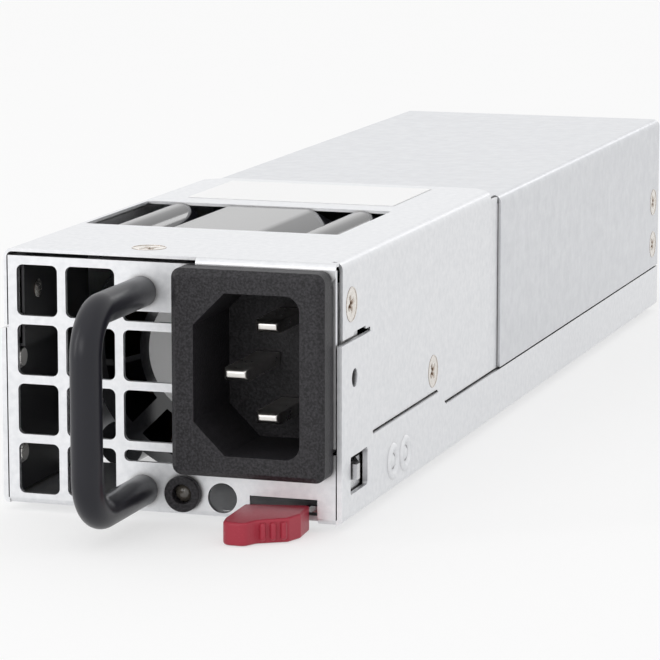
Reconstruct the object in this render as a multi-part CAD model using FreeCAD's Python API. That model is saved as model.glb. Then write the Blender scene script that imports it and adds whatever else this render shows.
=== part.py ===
import FreeCAD, Part
import math
import os

from FreeCAD import Vector

os.makedirs("parts", exist_ok=True)

# Millimetres. X runs across the case, Y from the front panel to the rear, Z up.
# The origin is the centre of the case's underside.

# Case sheets
width = 55.2
height = 40.0
length = 216.0
tray_sheet = 0.8
cover_sheet = 0.5
bend_radius = 1.0
cover_bend_radius = 1.4
sheet_gap = 0.3
corner_radius = 0.5

# Tray walls, measured back from the front panel
front_wall_height = 11.1
rear_wall_height = 8.3
wall_step_start = 53.0
wall_step_end = 56.5
wall_step_radius = 1.5
ear_length = 15.6
ear_height = 27.5
ear_hole_radius = 1.45
ear_hole_back = 6.35
ear_hole_height = 21.7

# Screw tabs inside the covers
tab_width = 9.0
front_tab_rise = 9.0
front_tab_overlap = 1.9
middle_tab_overlap = 2.3
middle_tab_top = 18.4
tab_foot_gap = 0.3
rear_tab_length = 11.0
rear_tab_bottom = 9.0
rear_tab_top = 26.5
tab_gap = 0.05

# Front panel and its grille
panel_height = 38.9
panel_side_gap = 0.2
panel_notch = 1.0
panel_notch_height = 11.8
panel_flange_left = -11.8
panel_flange_width = 12.0
panel_flange_length = 11.0
grille_inset = 2.7
grille_bottom = 1.7
cell_widths = (6.7, 8.05, 9.3)
cell_height = 7.95
cell_bar = 1.35
cell_rows = 4
cell_corner = 1.0
spare_hole_radius = 2.35
spare_hole_x = 8.5
spare_hole_height = 3.05

# Pull handle
handle_x = -4.4
handle_rod = 4.8
handle_low = 3.5
handle_high = 34.3
handle_reach = 22.8
handle_bend = 6.5
handle_land_low = 1.95
handle_land_high = 0.65
handle_screw_radius = 1.5
handle_screw_depth = 7.0
handle_screw_head = 2.7
handle_screw_head_height = 1.6

# Mains inlet
inlet_inset = 13.5
inlet_z = 23.1
bezel_width = 24.3
bezel_height = 31.7
bezel_depth = 5.0
bezel_corner = 1.5
bezel_edge = 0.9
inlet_body_width = 20.0
inlet_body_height = 27.5
inlet_cavity_width = 16.8
inlet_cavity_height = 24.8
inlet_cavity_bevel = 5.0
inlet_cavity_corner = 2.3
inlet_cavity_depth = 16.3
inlet_base = 2.0
inlet_opening_gap = 0.15
inlet_snap_length = 7.0
inlet_snap_height = 0.9
inlet_snap_width = 6.0
pin_width = 4.0
pin_thickness = 2.0
pin_tip = 0.6
pin_tip_length = 0.9
pin_pitch = 14.0
pin_offset = 2.0
live_pin_setback = 4.0
earth_pin_setback = 1.0
tag_width = 4.8
tag_thickness = 0.8
tag_length = 8.0

# Status light
led_x = 2.3
led_z = 3.5
led_flange_radius = 2.85
led_flange_depth = 1.3
led_body_radius = 2.3
led_body_length = 5.5
led_radius = 1.5
led_length = 6.3
led_dome = 0.9
panel_hole_gap = 0.05

# Latch
latch_slot_inset = 14.7
latch_slot_width = 10.8
latch_slot_height = 3.8
latch_slot_back = 2.4
latch_strip = 0.5
latch_strip_bottom = 1.3
latch_strip_top = 8.6
latch_wall_gap = 0.3
latch_hinge_back = 22.7
latch_hinge_gap = 0.3
latch_root_end = 37.0
latch_front = 2.6
latch_neck_inset = 6.4
latch_neck_width = 0.8
latch_neck_top = 2.3
latch_neck_reach = 6.0
latch_window_back = 4.3
latch_window_length = 8.6
latch_window_bottom = 3.9
latch_window_height = 5.9
catch_back = 4.9
catch_length = 5.9
catch_flat = 1.5
catch_bottom = 6.2
catch_height = 2.4
catch_reach = 0.8
rivet_radius = 2.85
rivet_head = 0.25
rivet_end = 0.5
rivet_taper = 0.4
rivet_shank = 1.3
rivet_z = 4.8
rivet_back = 26.3
rivet_pitch = 6.7
rivet_pad = 4.2
thumb_tab_bottom = -1.1
thumb_tab_thickness = 4.0
thumb_tab_inset = 15.0
thumb_tab_width = 9.8
thumb_tab_back = 1.6
thumb_tab_back_step = 2.0
thumb_tab_reach = 12.8
thumb_tab_flank = 6.6
thumb_tab_nose = 1.2
thumb_tab_shoulder = 4.4
thumb_tab_shoulder_radius = 0.5
thumb_tab_bulge = 0.2
thumb_tab_flare = 0.4
thumb_tab_cheek = 3.0
thumb_tab_cheek_radius = 1.0
thumb_rib_radius = 0.45
thumb_rib_count = 3
thumb_rib_margin = 0.4

# Front cover
cover_side_setback = 2.1
cover_front_bottom = 11.4
cover_rear_bottom = 8.6
cover_ear_bottom = 28.0
cover_length = 90.0
cover_rear_bevel = 4.0
cover_tail = 4.0
cover_notch_back = 7.5
cover_notch_length = 6.2
cover_notch_height = 0.5
lip_inset = 0.8
lip_width = 22.2
lip_depth = 0.8
lip_bottom = 36.6
lip_corner = 1.4
lip_inner_radius = 0.2
label_x = -2.0
label_width = 36.5
label_back = 63.5
label_length = 22.5
label_thickness = 0.12

# Rear cover
cover_seam_gap = 0.5
rear_cover_tongue = 4.0
rear_cover_tongue_gap = 0.25
rear_cover_slip = 0.05
rear_cover_drop = 0.6

# Cover screws
screw_head_radius = 2.7
screw_head_depth = 0.5
screw_radius = 1.4
screw_length = 2.2
screw_clearance = 0.1
front_screw_back = 6.5
front_screw_z = 32.9
middle_screw_back = 50.7
middle_screw_z = 14.85
rear_screw_inset = 4.8
rear_screw_low = 13.4
rear_screw_high = 22.2
top_screw_x = -5.75
top_screw_back = 6.95

# Fan
fan_size = 39.6
fan_depth = 28.0
fan_inset = 24.2
fan_back = 29.2
fan_window_gap = 0.3
fan_window_inset = 2.5
fan_window_width = 42.9
fan_least_wall = 1.1
fan_barrel_wall = 2.3
fan_post_radius = 3.8
fan_post_hole = 1.6
fan_hub_radius = 12.6
fan_base_depth = 2.4
fan_strut_width = 2.4
fan_strut_count = 4
fan_sticker_radius = 11.0
fan_sticker_thickness = 0.12
fan_tube_radius = 3.6
fan_bearing_radius = 2.8
fan_bearing_length = 2.3
fan_bearing_start = 0.5
fan_tube_length = 14.0
fan_shaft_radius = 1.0
fan_shaft_clearance = 0.04
fan_shaft_end_play = 0.2
fan_stator_radius = 9.4
fan_stator_start = 6.0
fan_stator_length = 8.0
fan_coil_count = 4
fan_coil_width = 4.8
fan_coil_overhang = 0.6
fan_core_wall = 1.6
fan_pole_width = 9.2
fan_pole_thickness = 1.2
fan_magnet_outer = 11.3
fan_magnet_inner = 10.0
fan_magnet_length = 11.0
fan_cup_radius = 12.4
fan_cup_start = 3.2
fan_cup_end = 20.5
fan_cup_floor = 1.5
fan_blade_count = 7
fan_blade_gap = 0.5
fan_blade_thickness = 0.9
fan_blade_start = 4.2
fan_blade_end = 19.5
fan_blade_turn = 40.0
fan_blade_bow = 1.2
fan_tab_width = 8.0
fan_tab_height = 8.5
fan_screw_head = 2.6
fan_screw_head_height = 1.2
fan_screw_length = 8.0

# Liner on the left wall
liner_thickness = 0.4
liner_start = 1.2
liner_end = 27.5
liner_bottom = 1.2
liner_top = 38.0
liner_tab_gap = 0.6
liner_inset = 2.25
liner_rivet_back = 3.4
liner_rivet_low = 7.5
liner_rivet_drop = 2.1
liner_rivet_radius = 2.0
liner_rivet_head = 0.8
liner_rivet_taper = 0.6

# Main board
board_side_gap = 2.4
board_fan_gap = 2.8
board_thickness = 1.6
board_lift = 3.8
board_rear_gap = 0.6
tongue_half = 19.0
tongue_reach = 10.0
tongue_slot_gap = 0.6
contact_count = 12
contact_pitch = 3.0
contact_width = 2.2
contact_length = 8.0
contact_thickness = 0.06
contact_inset = 1.0
spacer_radius = 2.6
spacer_inset_x = 3.4
spacer_front_inset = 4.0
spacer_rear_inset = 3.1
board_screw_radius = 1.25
board_screw_head = 2.5
board_screw_head_height = 1.4
insulator_thickness = 0.4
insulator_margin = 0.4
vent_radius = 2.2
vent_pitch = 5.2
vent_bottom = 13.0
vent_top_margin = 1.5

# Mains side parts on the board
fuse_x = 13.0
fuse_back = 2.5
fuse_length = 20.0
fuse_radius = 2.6
fuse_cap_length = 5.0
fuse_cap_step = 0.2
fuse_lift = 1.2
varistor_x = 12.5
varistor_back = 26.0
varistor_radius = 6.0
varistor_thickness = 5.0
lead_width = 0.8
lead_length = 1.0
filter_choke_x = -2.5
filter_choke_backs = (10.0, 33.0)
filter_choke_size = 20.6
filter_choke_leg = 5.2
filter_choke_depth = 8.0
winding_thickness = 1.2
winding_gap = 4.0
winding_slip = 0.2
x_capacitor_x = -5.0
x_capacitor_backs = (17.6, 40.6)
x_capacitor_width = 18.0
x_capacitor_depth = 7.6
x_capacitor_height = 14.0
y_capacitor_x = -20.0
y_capacitor_backs = (24.0, 32.5, 41.0)
y_capacitor_radius = 3.8
y_capacitor_thickness = 3.4
relay_x = 12.0
relay_back = 40.0
relay_width = 12.0
relay_length = 15.0
relay_height = 14.0
bridge_x = -5.0
bridge_back = 50.5
bridge_width = 20.0
bridge_thickness = 3.6
bridge_height = 14.0
bridge_lead_pitch = 5.0
bridge_lead_width = 1.0
bridge_lead_thickness = 0.8

# Boost stage and converter
bulk_x = -9.5
bulk_back = 58.0
bulk_radius = 14.0
bulk_length = 46.0
bulk_edge = 1.2
boost_choke_x = 11.5
boost_choke_back = 70.0
boost_choke_size = 21.4
boost_choke_leg = 6.0
boost_choke_depth = 8.6
heatsink_inset = 4.4
heatsink_back = 58.0
heatsink_length = 60.0
heatsink_height = 26.0
heatsink_thickness = 2.0
heatsink_fin = 2.0
heatsink_fin_thickness = 1.2
heatsink_fin_pitch = 8.0
transistor_width = 10.0
transistor_height = 15.0
transistor_thickness = 4.5
transistor_lead_length = 3.0
transistor_lead_width = 1.2
transistor_lead_pitch = 2.54
transistor_lead_thickness = 0.6
primary_transistor_start = 87.0
primary_transistor_pitch = 12.0
primary_transistor_count = 3
transformer_x = -8.0
transformer_back = 108.0
transformer_width = 28.0
transformer_depth = 22.0
transformer_height = 26.0
transformer_yoke = 5.0
transformer_core_depth = 12.0
transformer_window_gap = 0.2
transformer_winding_corner = 3.0
standby_back = 120.0
standby_size = 12.0
standby_core_width = 5.0
standby_core_margin = 0.8
secondary_sink_left = -20.0
secondary_sink_width = 23.0
secondary_sink_back = 132.4
secondary_sink_height = 20.0
secondary_transistor_count = 2
secondary_transistor_pitch = 11.5
output_choke_back = 140.5
output_choke_outer = 6.0
output_choke_inner = 3.0
output_choke_height = 6.0
output_capacitor_left = -12.5
output_capacitor_pitch = 6.6
output_capacitor_count = 3
output_capacitor_back = 147.0
output_capacitor_radius = 3.15
output_capacitor_height = 16.0
control_inset = 1.8
control_back = 122.0
control_length = 22.0
control_height = 22.0
control_thickness = 1.2
control_chip = 7.0
control_chip_pitch = 10.0
control_chip_thickness = 1.1

front = -length / 2
rear = length / 2
side = width / 2
wall_inner = side - tray_sheet
panel_side = wall_inner - panel_side_gap
panel_back = front + tray_sheet
grille_left = grille_inset - side

rear_cover_inner = side - cover_sheet
cover_side = rear_cover_inner - rear_cover_slip
cover_inner = cover_side - cover_sheet
cover_under = height - cover_sheet
cover_end = front + cover_length
rear_cover_top = cover_under - rear_cover_drop
rear_cover_under = rear_cover_top - cover_sheet
rear_cover_start = cover_end + cover_seam_gap
front_tab_bottom = ear_height - front_tab_overlap
front_tab_top = ear_height + front_tab_rise
middle_tab_bottom = rear_wall_height - middle_tab_overlap
front_tab_outer = cover_inner - tab_gap
liner_step = front_tab_bottom - liner_tab_gap - liner_thickness
liner_rivet_heights = (liner_rivet_low, liner_step - liner_rivet_drop)
rear_tab_outer = rear_cover_inner - tab_gap
lip_right = side - lip_inset
lip_left = lip_right - lip_width

fan_front = front + fan_back
fan_rear = fan_front + fan_depth
fan_x = fan_inset - side
fan_z = height / 2
fan_bore_radius = fan_size / 2 - fan_least_wall
fan_barrel_radius = fan_bore_radius + fan_barrel_wall
fan_post_pitch = fan_size - 2 * fan_post_radius
fan_window_left = fan_window_inset - side
fan_posts = [(fan_x + i * fan_post_pitch / 2, fan_z + j * fan_post_pitch / 2)
             for i in (-1, 1) for j in (-1, 1)]

board_half = wall_inner - board_side_gap
board_front = fan_rear + board_fan_gap
board_rear = rear - tray_sheet - board_rear_gap
board_bottom = tray_sheet + board_lift
board_top = board_bottom + board_thickness
heatsink_x = board_half - heatsink_inset
control_x = board_half - control_inset
chip_face = control_x - control_chip_thickness
standby_x = (transformer_x + transformer_width / 2 + chip_face) / 2
output_choke_x = (secondary_sink_left + secondary_sink_width + chip_face) / 2

inlet_x = side - inlet_inset
bezel_face = front - bezel_depth
inlet_floor = bezel_face + inlet_cavity_depth
inlet_back = inlet_floor + inlet_base

latch_slot_left = side - latch_slot_inset
latch_neck_x = side - latch_neck_inset
thumb_tab_left = side - thumb_tab_inset


def place(axis, u, v, level):
    """Point at u, v across an axis and at a level along it."""
    if axis == "x":
        return Vector(level, u, v)
    if axis == "y":
        return Vector(u, level, v)
    return Vector(u, v, level)


def prism(axis, points, low, high):
    """Straight body on an outline of (u, v) or (u, v, corner radius) points."""
    starts, ends, middles = [], [], []
    for index, point in enumerate(points):
        corner = Vector(point[0], point[1], 0)
        radius = point[2] if len(point) > 2 else 0
        to_before = Vector(*points[index - 1][:2], 0) - corner
        to_after = Vector(*points[(index + 1) % len(points)][:2], 0) - corner
        half_angle = to_before.getAngle(to_after) / 2
        before = to_before.normalize()
        after = to_after.normalize()
        if radius:
            bisector = (before + after).normalize()
            starts.append(corner + before * (radius / math.tan(half_angle)))
            ends.append(corner + after * (radius / math.tan(half_angle)))
            middles.append(corner + bisector * (radius / math.sin(half_angle) - radius))
        else:
            starts.append(corner)
            ends.append(corner)
            middles.append(None)
    edges = []
    for index, middle in enumerate(middles):
        start, end = [place(axis, p.x, p.y, low) for p in (starts[index], ends[index])]
        if middle is not None:
            edges.append(Part.Arc(start, place(axis, middle.x, middle.y, low), end).toShape())
        following = starts[(index + 1) % len(starts)]
        following = place(axis, following.x, following.y, low)
        if end.distanceToPoint(following) > 1e-6:
            edges.append(Part.LineSegment(end, following).toShape())
    return Part.Face(Part.Wire(edges)).extrude(place(axis, 0, 0, high - low))


def box(x, y, z):
    """Block between the low and high value on each axis."""
    corner = Vector(x[0], y[0], z[0])
    return Part.makeBox(x[1] - x[0], y[1] - y[0], z[1] - z[0], corner)


def plate(axis, u, v, low, high, radius):
    """Rounded rectangle between low and high along an axis."""
    corners = [(u[0], v[0], radius), (u[1], v[0], radius), (u[1], v[1], radius), (u[0], v[1], radius)]
    return prism(axis, corners, low, high)


def rod(axis, u, v, low, high, radius):
    """Cylinder along an axis from low to high."""
    return Part.makeCylinder(radius, high - low, place(axis, u, v, low), place(axis, 0, 0, 1))


def ring(axis, u, v, low, high, outer, inner):
    """Straight tube along an axis."""
    return rod(axis, u, v, low, high, outer).cut(rod(axis, u, v, low, high, inner))


def join(shapes):
    """One body from shapes that touch or overlap."""
    return shapes[0].fuse(shapes[1:]).removeSplitter()


def mirror_x(shape):
    """The same shape on the other side of the case."""
    return shape.mirror(Vector(0, 0, 0), Vector(1, 0, 0))


def channel(half, top, thickness, radius, low, high):
    """Sheet bent up along both sides of a floor."""
    inner_radius = max(radius - thickness, 0.1)
    outline = [
        (-half, 0, radius), (half, 0, radius), (half, top), (half - thickness, top),
        (half - thickness, thickness, inner_radius), (thickness - half, thickness, inner_radius),
        (thickness - half, top), (-half, top),
    ]
    return prism("y", outline, low, high)


def cover_channel(half, top, low, high):
    """Cover sheet bent down along both sides of a roof."""
    body = channel(half, top - cover_rear_bottom, cover_sheet, cover_bend_radius, low, high)
    body.rotate(Vector(0, 0, 0), Vector(0, 1, 0), 180)
    body.translate(Vector(0, 0, top))
    return body


def countersunk(position, direction):
    """Flush cover screw; direction points out of the case."""
    inward = direction * -1
    head = Part.makeCone(screw_head_radius, screw_radius, screw_head_depth, position, inward)
    return head.fuse(Part.makeCylinder(screw_radius, screw_length, position, inward)).removeSplitter()


def screw_clear_hole(position, direction):
    """Room for one cover screw through a cover."""
    inward = direction * -1
    start = position + direction * screw_clearance
    narrowest = screw_radius + screw_clearance
    slope = (screw_head_radius - screw_radius) / screw_head_depth
    depth = screw_head_depth + screw_clearance
    cone = Part.makeCone(narrowest + slope * depth, narrowest, depth, start, inward)
    return cone.fuse(Part.makeCylinder(narrowest, screw_length, position, inward))


def write(node, shape):
    """Write one named piece."""
    shape.exportStep("parts/" + node + ".step")


# Cover screws

def front_cover_screws():
    screws = [(Vector(top_screw_x, front + top_screw_back, height), Vector(0, 0, 1))]
    for sign in (-1, 1):
        outward = Vector(sign, 0, 0)
        screws.append((Vector(sign * cover_side, front + front_screw_back, front_screw_z), outward))
        screws.append((Vector(sign * cover_side, front + middle_screw_back, middle_screw_z), outward))
    return screws


def rear_cover_screws():
    screws = []
    for sign in (-1, 1):
        for z in (rear_screw_low, rear_screw_high):
            screws.append((Vector(sign * side, rear - rear_screw_inset, z), Vector(sign, 0, 0)))
    return screws


cover_screws = [countersunk(*screw) for screw in front_cover_screws() + rear_cover_screws()]


# Handle

def handle_screw(z):
    shank = rod("y", handle_x, z, front - handle_screw_depth, panel_back, handle_screw_radius)
    head_end = panel_back + handle_screw_head_height
    return join([shank, rod("y", handle_x, z, panel_back, head_end, handle_screw_head)])


def pull_handle():
    reach = front - handle_reach
    path = [
        Vector(handle_x, front, handle_low), Vector(handle_x, reach, handle_low),
        Vector(handle_x, reach, handle_high), Vector(handle_x, front, handle_high),
    ]
    first, second = path[1], path[2]
    lead = Vector(0, handle_bend, 0)
    rise = Vector(0, 0, handle_bend)
    cut = handle_bend * (1 - math.sqrt(0.5))
    low_arc = Part.Arc(first + lead, first + Vector(0, cut, cut), first + rise)
    high_arc = Part.Arc(second - rise, second + Vector(0, cut, -cut), second + lead)
    edges = [
        Part.LineSegment(path[0], first + lead), low_arc, Part.LineSegment(first + rise, second - rise),
        high_arc, Part.LineSegment(second + lead, path[3]),
    ]
    spine = Part.Wire([edge.toShape() for edge in edges])
    section = Part.Wire(Part.makeCircle(handle_rod / 2, path[0], Vector(0, 1, 0)))
    body = spine.makePipeShell([section], True, True)
    for screw in handle_screws:
        body = body.cut(screw)
    return body


handle_screws = [handle_screw(z) for z in (handle_low, handle_high)]


# Front panel, tray

def grille_cells():
    """Openings of the air grille, with solid lands behind the handle's feet."""
    cells = []
    land_low = handle_low + handle_rod / 2 + handle_land_low
    land_high = handle_high - handle_rod / 2 - handle_land_high
    left = grille_left
    for column, cell_width in enumerate(cell_widths):
        for row in range(cell_rows):
            low = grille_bottom + row * (cell_height + cell_bar)
            high = low + cell_height
            if column == len(cell_widths) - 1:
                low = max(low, land_low)
                high = min(high, land_high)
            right = left + cell_width
            corner = min(cell_corner, 0.45 * (high - low))
            cells.append(plate("y", (left, right), (low, high), front - 1, panel_back + 1, corner))
        left += cell_width + cell_bar
    return cells


def front_panel():
    foot = [
        (front, 0, bend_radius), (front + panel_flange_length / 2, 0),
        (front + panel_flange_length / 2, tray_sheet), (panel_back, tray_sheet), (panel_back, panel_height),
        (front, panel_height),
    ]
    panel = prism("x", foot, -panel_side, panel_side)
    beside_cover = box((-side, panel_side_gap - cover_inner), (front - 1, panel_back + 1),
                       (cover_ear_bottom - sheet_gap, height))
    flange_right = panel_flange_left + panel_flange_width
    flange = box((panel_flange_left, flange_right), (front, front + panel_flange_length),
                 (panel_height - tray_sheet, panel_height))
    openings = grille_cells() + [beside_cover]
    opening_half = inlet_body_width / 2 + inlet_opening_gap
    opening_top = inlet_body_height / 2 + inlet_opening_gap
    openings.append(plate("y", (inlet_x - opening_half, inlet_x + opening_half),
                          (inlet_z - opening_top, inlet_z + opening_top), front - 1, panel_back + 1,
                          cell_corner))
    openings.append(rod("y", led_x, led_z, front - 1, panel_back + 1, led_body_radius + panel_hole_gap))
    openings.append(rod("y", spare_hole_x, spare_hole_height, front - 1, panel_back + 1, spare_hole_radius))
    openings.append(box((panel_side - panel_notch, side), (front - 1, panel_back + 1),
                        (panel_notch_height - panel_notch, panel_notch_height)))
    return join([panel, flange]).cut(openings)


def fan_tabs():
    """Upright tabs behind the fan's lower corners."""
    tabs = []
    for x, z in fan_posts:
        if z < fan_z:
            span = (x - fan_tab_width / 2, x + fan_tab_width / 2)
            tabs.append(box(span, (fan_rear, fan_rear + tray_sheet), (0, fan_tab_height)))
    return tabs


def side_tabs():
    """Threaded tabs just inside the covers; those on the walls stand on an offset foot."""
    tabs = []
    inner = front_tab_outer - tray_sheet
    for back, low, wall_top, high in (
            (front_screw_back, front_tab_bottom, ear_height, front_tab_top),
            (middle_screw_back, middle_tab_bottom, rear_wall_height, middle_tab_top)):
        y = front + back
        span = (max(y - tab_width / 2, panel_back + tab_width / 4), y + tab_width / 2)
        tabs.append(box((inner, front_tab_outer), span, (low, high)))
        tabs.append(box((inner, wall_inner), span, (low, wall_top - tab_foot_gap)))
    tabs.append(box((rear_tab_outer - tray_sheet, rear_tab_outer), (rear - rear_tab_length, rear),
                    (rear_tab_bottom, rear_tab_top)))
    return tabs + [mirror_x(tab) for tab in tabs]


def vent_holes():
    """Hexagonal holes of the rear wall in staggered rows above the card edge."""
    holes = []
    row_rise = vent_pitch * math.sqrt(3) / 2
    rows = int((rear_cover_under - vent_radius - vent_top_margin - vent_bottom) / row_rise) + 1
    per_side = int((rear_tab_outer - tray_sheet - vent_pitch) / vent_pitch)
    for row in range(rows):
        shift = vent_pitch / 2 if row % 2 else 0
        for place_index in range(-per_side, per_side + (0 if row % 2 else 1)):
            x = place_index * vent_pitch + shift
            z = vent_bottom + row * row_rise
            hexagon = [(x + vent_radius * math.cos(math.radians(30 + 60 * k)),
                        z + vent_radius * math.sin(math.radians(30 + 60 * k))) for k in range(6)]
            holes.append(prism("y", hexagon, rear - tray_sheet - 1, rear + 1))
    return holes


def rear_wall():
    top = rear_cover_under - tab_gap
    outline = [(-rear_tab_outer, 0), (rear_tab_outer, 0), (rear_tab_outer, top, cover_bend_radius),
               (-rear_tab_outer, top, cover_bend_radius)]
    wall = prism("y", outline, rear - tray_sheet, rear)
    slot = box((-tongue_half - tongue_slot_gap, tongue_half + tongue_slot_gap), (rear - 2, rear + 1),
               (board_bottom - tongue_slot_gap, board_top + tongue_slot_gap))
    return wall.cut([slot] + vent_holes())


def fan_window(low, high):
    """Opening in the floor or the roof that the fan stands in."""
    return plate("z", (fan_window_left, fan_window_left + fan_window_width),
                 (fan_front - fan_window_gap, fan_rear + fan_window_gap), low, high, corner_radius)


def chassis_tray():
    body = channel(side, ear_height, tray_sheet, bend_radius, front, rear)
    above_walls = [
        (front + ear_length, ear_height + 1), (front + ear_length, front_wall_height, corner_radius),
        (front + wall_step_start, front_wall_height, wall_step_radius),
        (front + wall_step_end, rear_wall_height, wall_step_radius), (rear + 1, rear_wall_height),
        (rear + 1, ear_height + 1),
    ]
    cuts = [prism("x", above_walls, -side - 1, side + 1)]
    cuts.append(box((-panel_side, panel_side), (front - 1, front + bend_radius + 1), (-1, tray_sheet + 1)))
    cuts.append(fan_window(-1, tray_sheet + 1))
    body = join([body.cut(cuts), front_panel(), rear_wall()] + fan_tabs() + side_tabs())
    window = (front + latch_window_back, front + latch_window_back + latch_window_length)
    cuts = [plate("x", window, (latch_window_bottom, latch_window_bottom + latch_window_height),
                  wall_inner - 1, side + 1, corner_radius)]
    cuts.append(box((latch_slot_left, latch_slot_left + latch_slot_width),
                    (front - 1, front + latch_slot_back), (-1, latch_slot_height)))
    cuts.append(rod("x", front + ear_hole_back, ear_hole_height, -side - 1, side + 1, ear_hole_radius))
    for row in latch_rivet_backs:
        cuts.append(rod("x", row, rivet_z, wall_inner - 1, side + 1, rivet_shank))
    for z in liner_rivet_heights:
        cuts.append(rod("x", front + liner_rivet_back, z, -side - 1, 1 - wall_inner, rivet_shank))
    cuts += cover_screws + handle_screws
    for x, z in fan_posts:
        if z < fan_z:
            cuts.append(rod("y", x, z, fan_rear, fan_rear + 2 * tray_sheet, fan_post_hole))
    cuts += [rod("z", x, y, -1, tray_sheet + 1, board_screw_radius) for x, y in spacer_places()]
    return body.cut(cuts)


# Covers

def front_cover():
    sides_front = front + cover_side_setback
    tail_end = cover_end + cover_tail
    body = cover_channel(cover_side, height, front, tail_end)
    ear_end = front + ear_length + sheet_gap
    notch_top = cover_ear_bottom + cover_notch_height
    notch_front = front + cover_notch_back
    notch_end = notch_front + cover_notch_length
    below_sides = [
        (front - 1, cover_ear_bottom), (notch_front, cover_ear_bottom), (notch_front, notch_top),
        (notch_end, notch_top), (notch_end, cover_ear_bottom), (ear_end, cover_ear_bottom),
        (ear_end, cover_front_bottom), (front + wall_step_start, cover_front_bottom, wall_step_radius),
        (front + wall_step_end, cover_rear_bottom, wall_step_radius), (tail_end + 1, cover_rear_bottom),
        (tail_end + 1, -1), (front - 1, -1),
    ]
    cuts = [prism("x", below_sides, -side, side)]
    cuts.append(box((cover_side - cover_bend_radius, side), (front - 1, sides_front), (-1, height + 1)))
    cuts.append(box((-side, side), (cover_end, tail_end + 1),
                    (rear_cover_top - cover_bend_radius, height + 1)))
    cuts.append(fan_window(cover_under - 1, height + 1))
    for sign in (-1, 1):
        bevel = [
            (sign * (cover_side - cover_rear_bevel), cover_end + 1),
            (sign * (cover_side - cover_rear_bevel), cover_end),
            (sign * (cover_side + 1), cover_end - cover_rear_bevel - 1),
            (sign * (cover_side + 1), cover_end + 1),
        ]
        cuts.append(prism("z", bevel, height - cover_bend_radius, height + 1))
    body = body.cut(cuts)
    lip_front = front - lip_depth
    profile = [
        (front + bend_radius, height), (lip_front, height, bend_radius), (lip_front, lip_bottom),
        (lip_front + cover_sheet, lip_bottom), (lip_front + cover_sheet, cover_under, lip_inner_radius),
        (front + bend_radius, cover_under),
    ]
    lip = prism("x", profile, lip_left, lip_right)
    rounding = [(lip_right, lip_bottom), (lip_right, lip_bottom + lip_corner),
                (lip_right - lip_corner, lip_bottom)]
    lip = lip.cut(prism("y", rounding, lip_front - 1, front))
    body = join([body, lip])
    return body.cut([screw_clear_hole(*screw) for screw in front_cover_screws()])


def rear_cover():
    """Cover whose sides lie outside the front cover's and whose roof reaches under it."""
    start = rear_cover_start - rear_cover_tongue
    body = cover_channel(side, rear_cover_top, start, rear)
    tongue_side = cover_inner - rear_cover_tongue_gap
    beside_tongue = box((tongue_side, side + 1), (start - 1, rear_cover_start), (-1, height))
    cuts = [beside_tongue, mirror_x(beside_tongue)]
    return body.cut(cuts + [screw_clear_hole(*screw) for screw in rear_cover_screws()])


def blank_label():
    y = front + label_back
    x = (label_x - label_width / 2, label_x + label_width / 2)
    return box(x, (y, y + label_length), (height, height + label_thickness))


# Mains inlet

def inlet_pins():
    """Line, neutral and earth blades with their rear tags."""
    pins = []
    for x, z, setback in ((inlet_x + pin_offset, inlet_z + pin_pitch / 2, live_pin_setback),
                          (inlet_x + pin_offset, inlet_z - pin_pitch / 2, live_pin_setback),
                          (inlet_x - pin_offset, inlet_z, earth_pin_setback)):
        tip = bezel_face + setback
        shoulder = tip + pin_tip_length
        blade = [
            (tip, z - pin_thickness / 2 + pin_tip), (shoulder, z - pin_thickness / 2),
            (inlet_back, z - pin_thickness / 2), (inlet_back, z + pin_thickness / 2),
            (shoulder, z + pin_thickness / 2), (tip, z + pin_thickness / 2 - pin_tip),
        ]
        body = prism("x", blade, x - pin_width / 2, x + pin_width / 2)
        for sign in (-1, 1):
            edge = x + sign * pin_width / 2
            chamfer = [(edge - sign * pin_tip, tip - 1), (edge - sign * pin_tip, tip),
                       (edge, shoulder), (edge + sign, shoulder), (edge + sign, tip - 1)]
            body = body.cut(prism("z", chamfer, z - pin_thickness, z + pin_thickness))
        tag = box((x - tag_width / 2, x + tag_width / 2), (inlet_back, inlet_back + tag_length),
                  (z - tag_thickness / 2, z + tag_thickness / 2))
        pins.append(join([body, tag]))
    return pins


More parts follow.
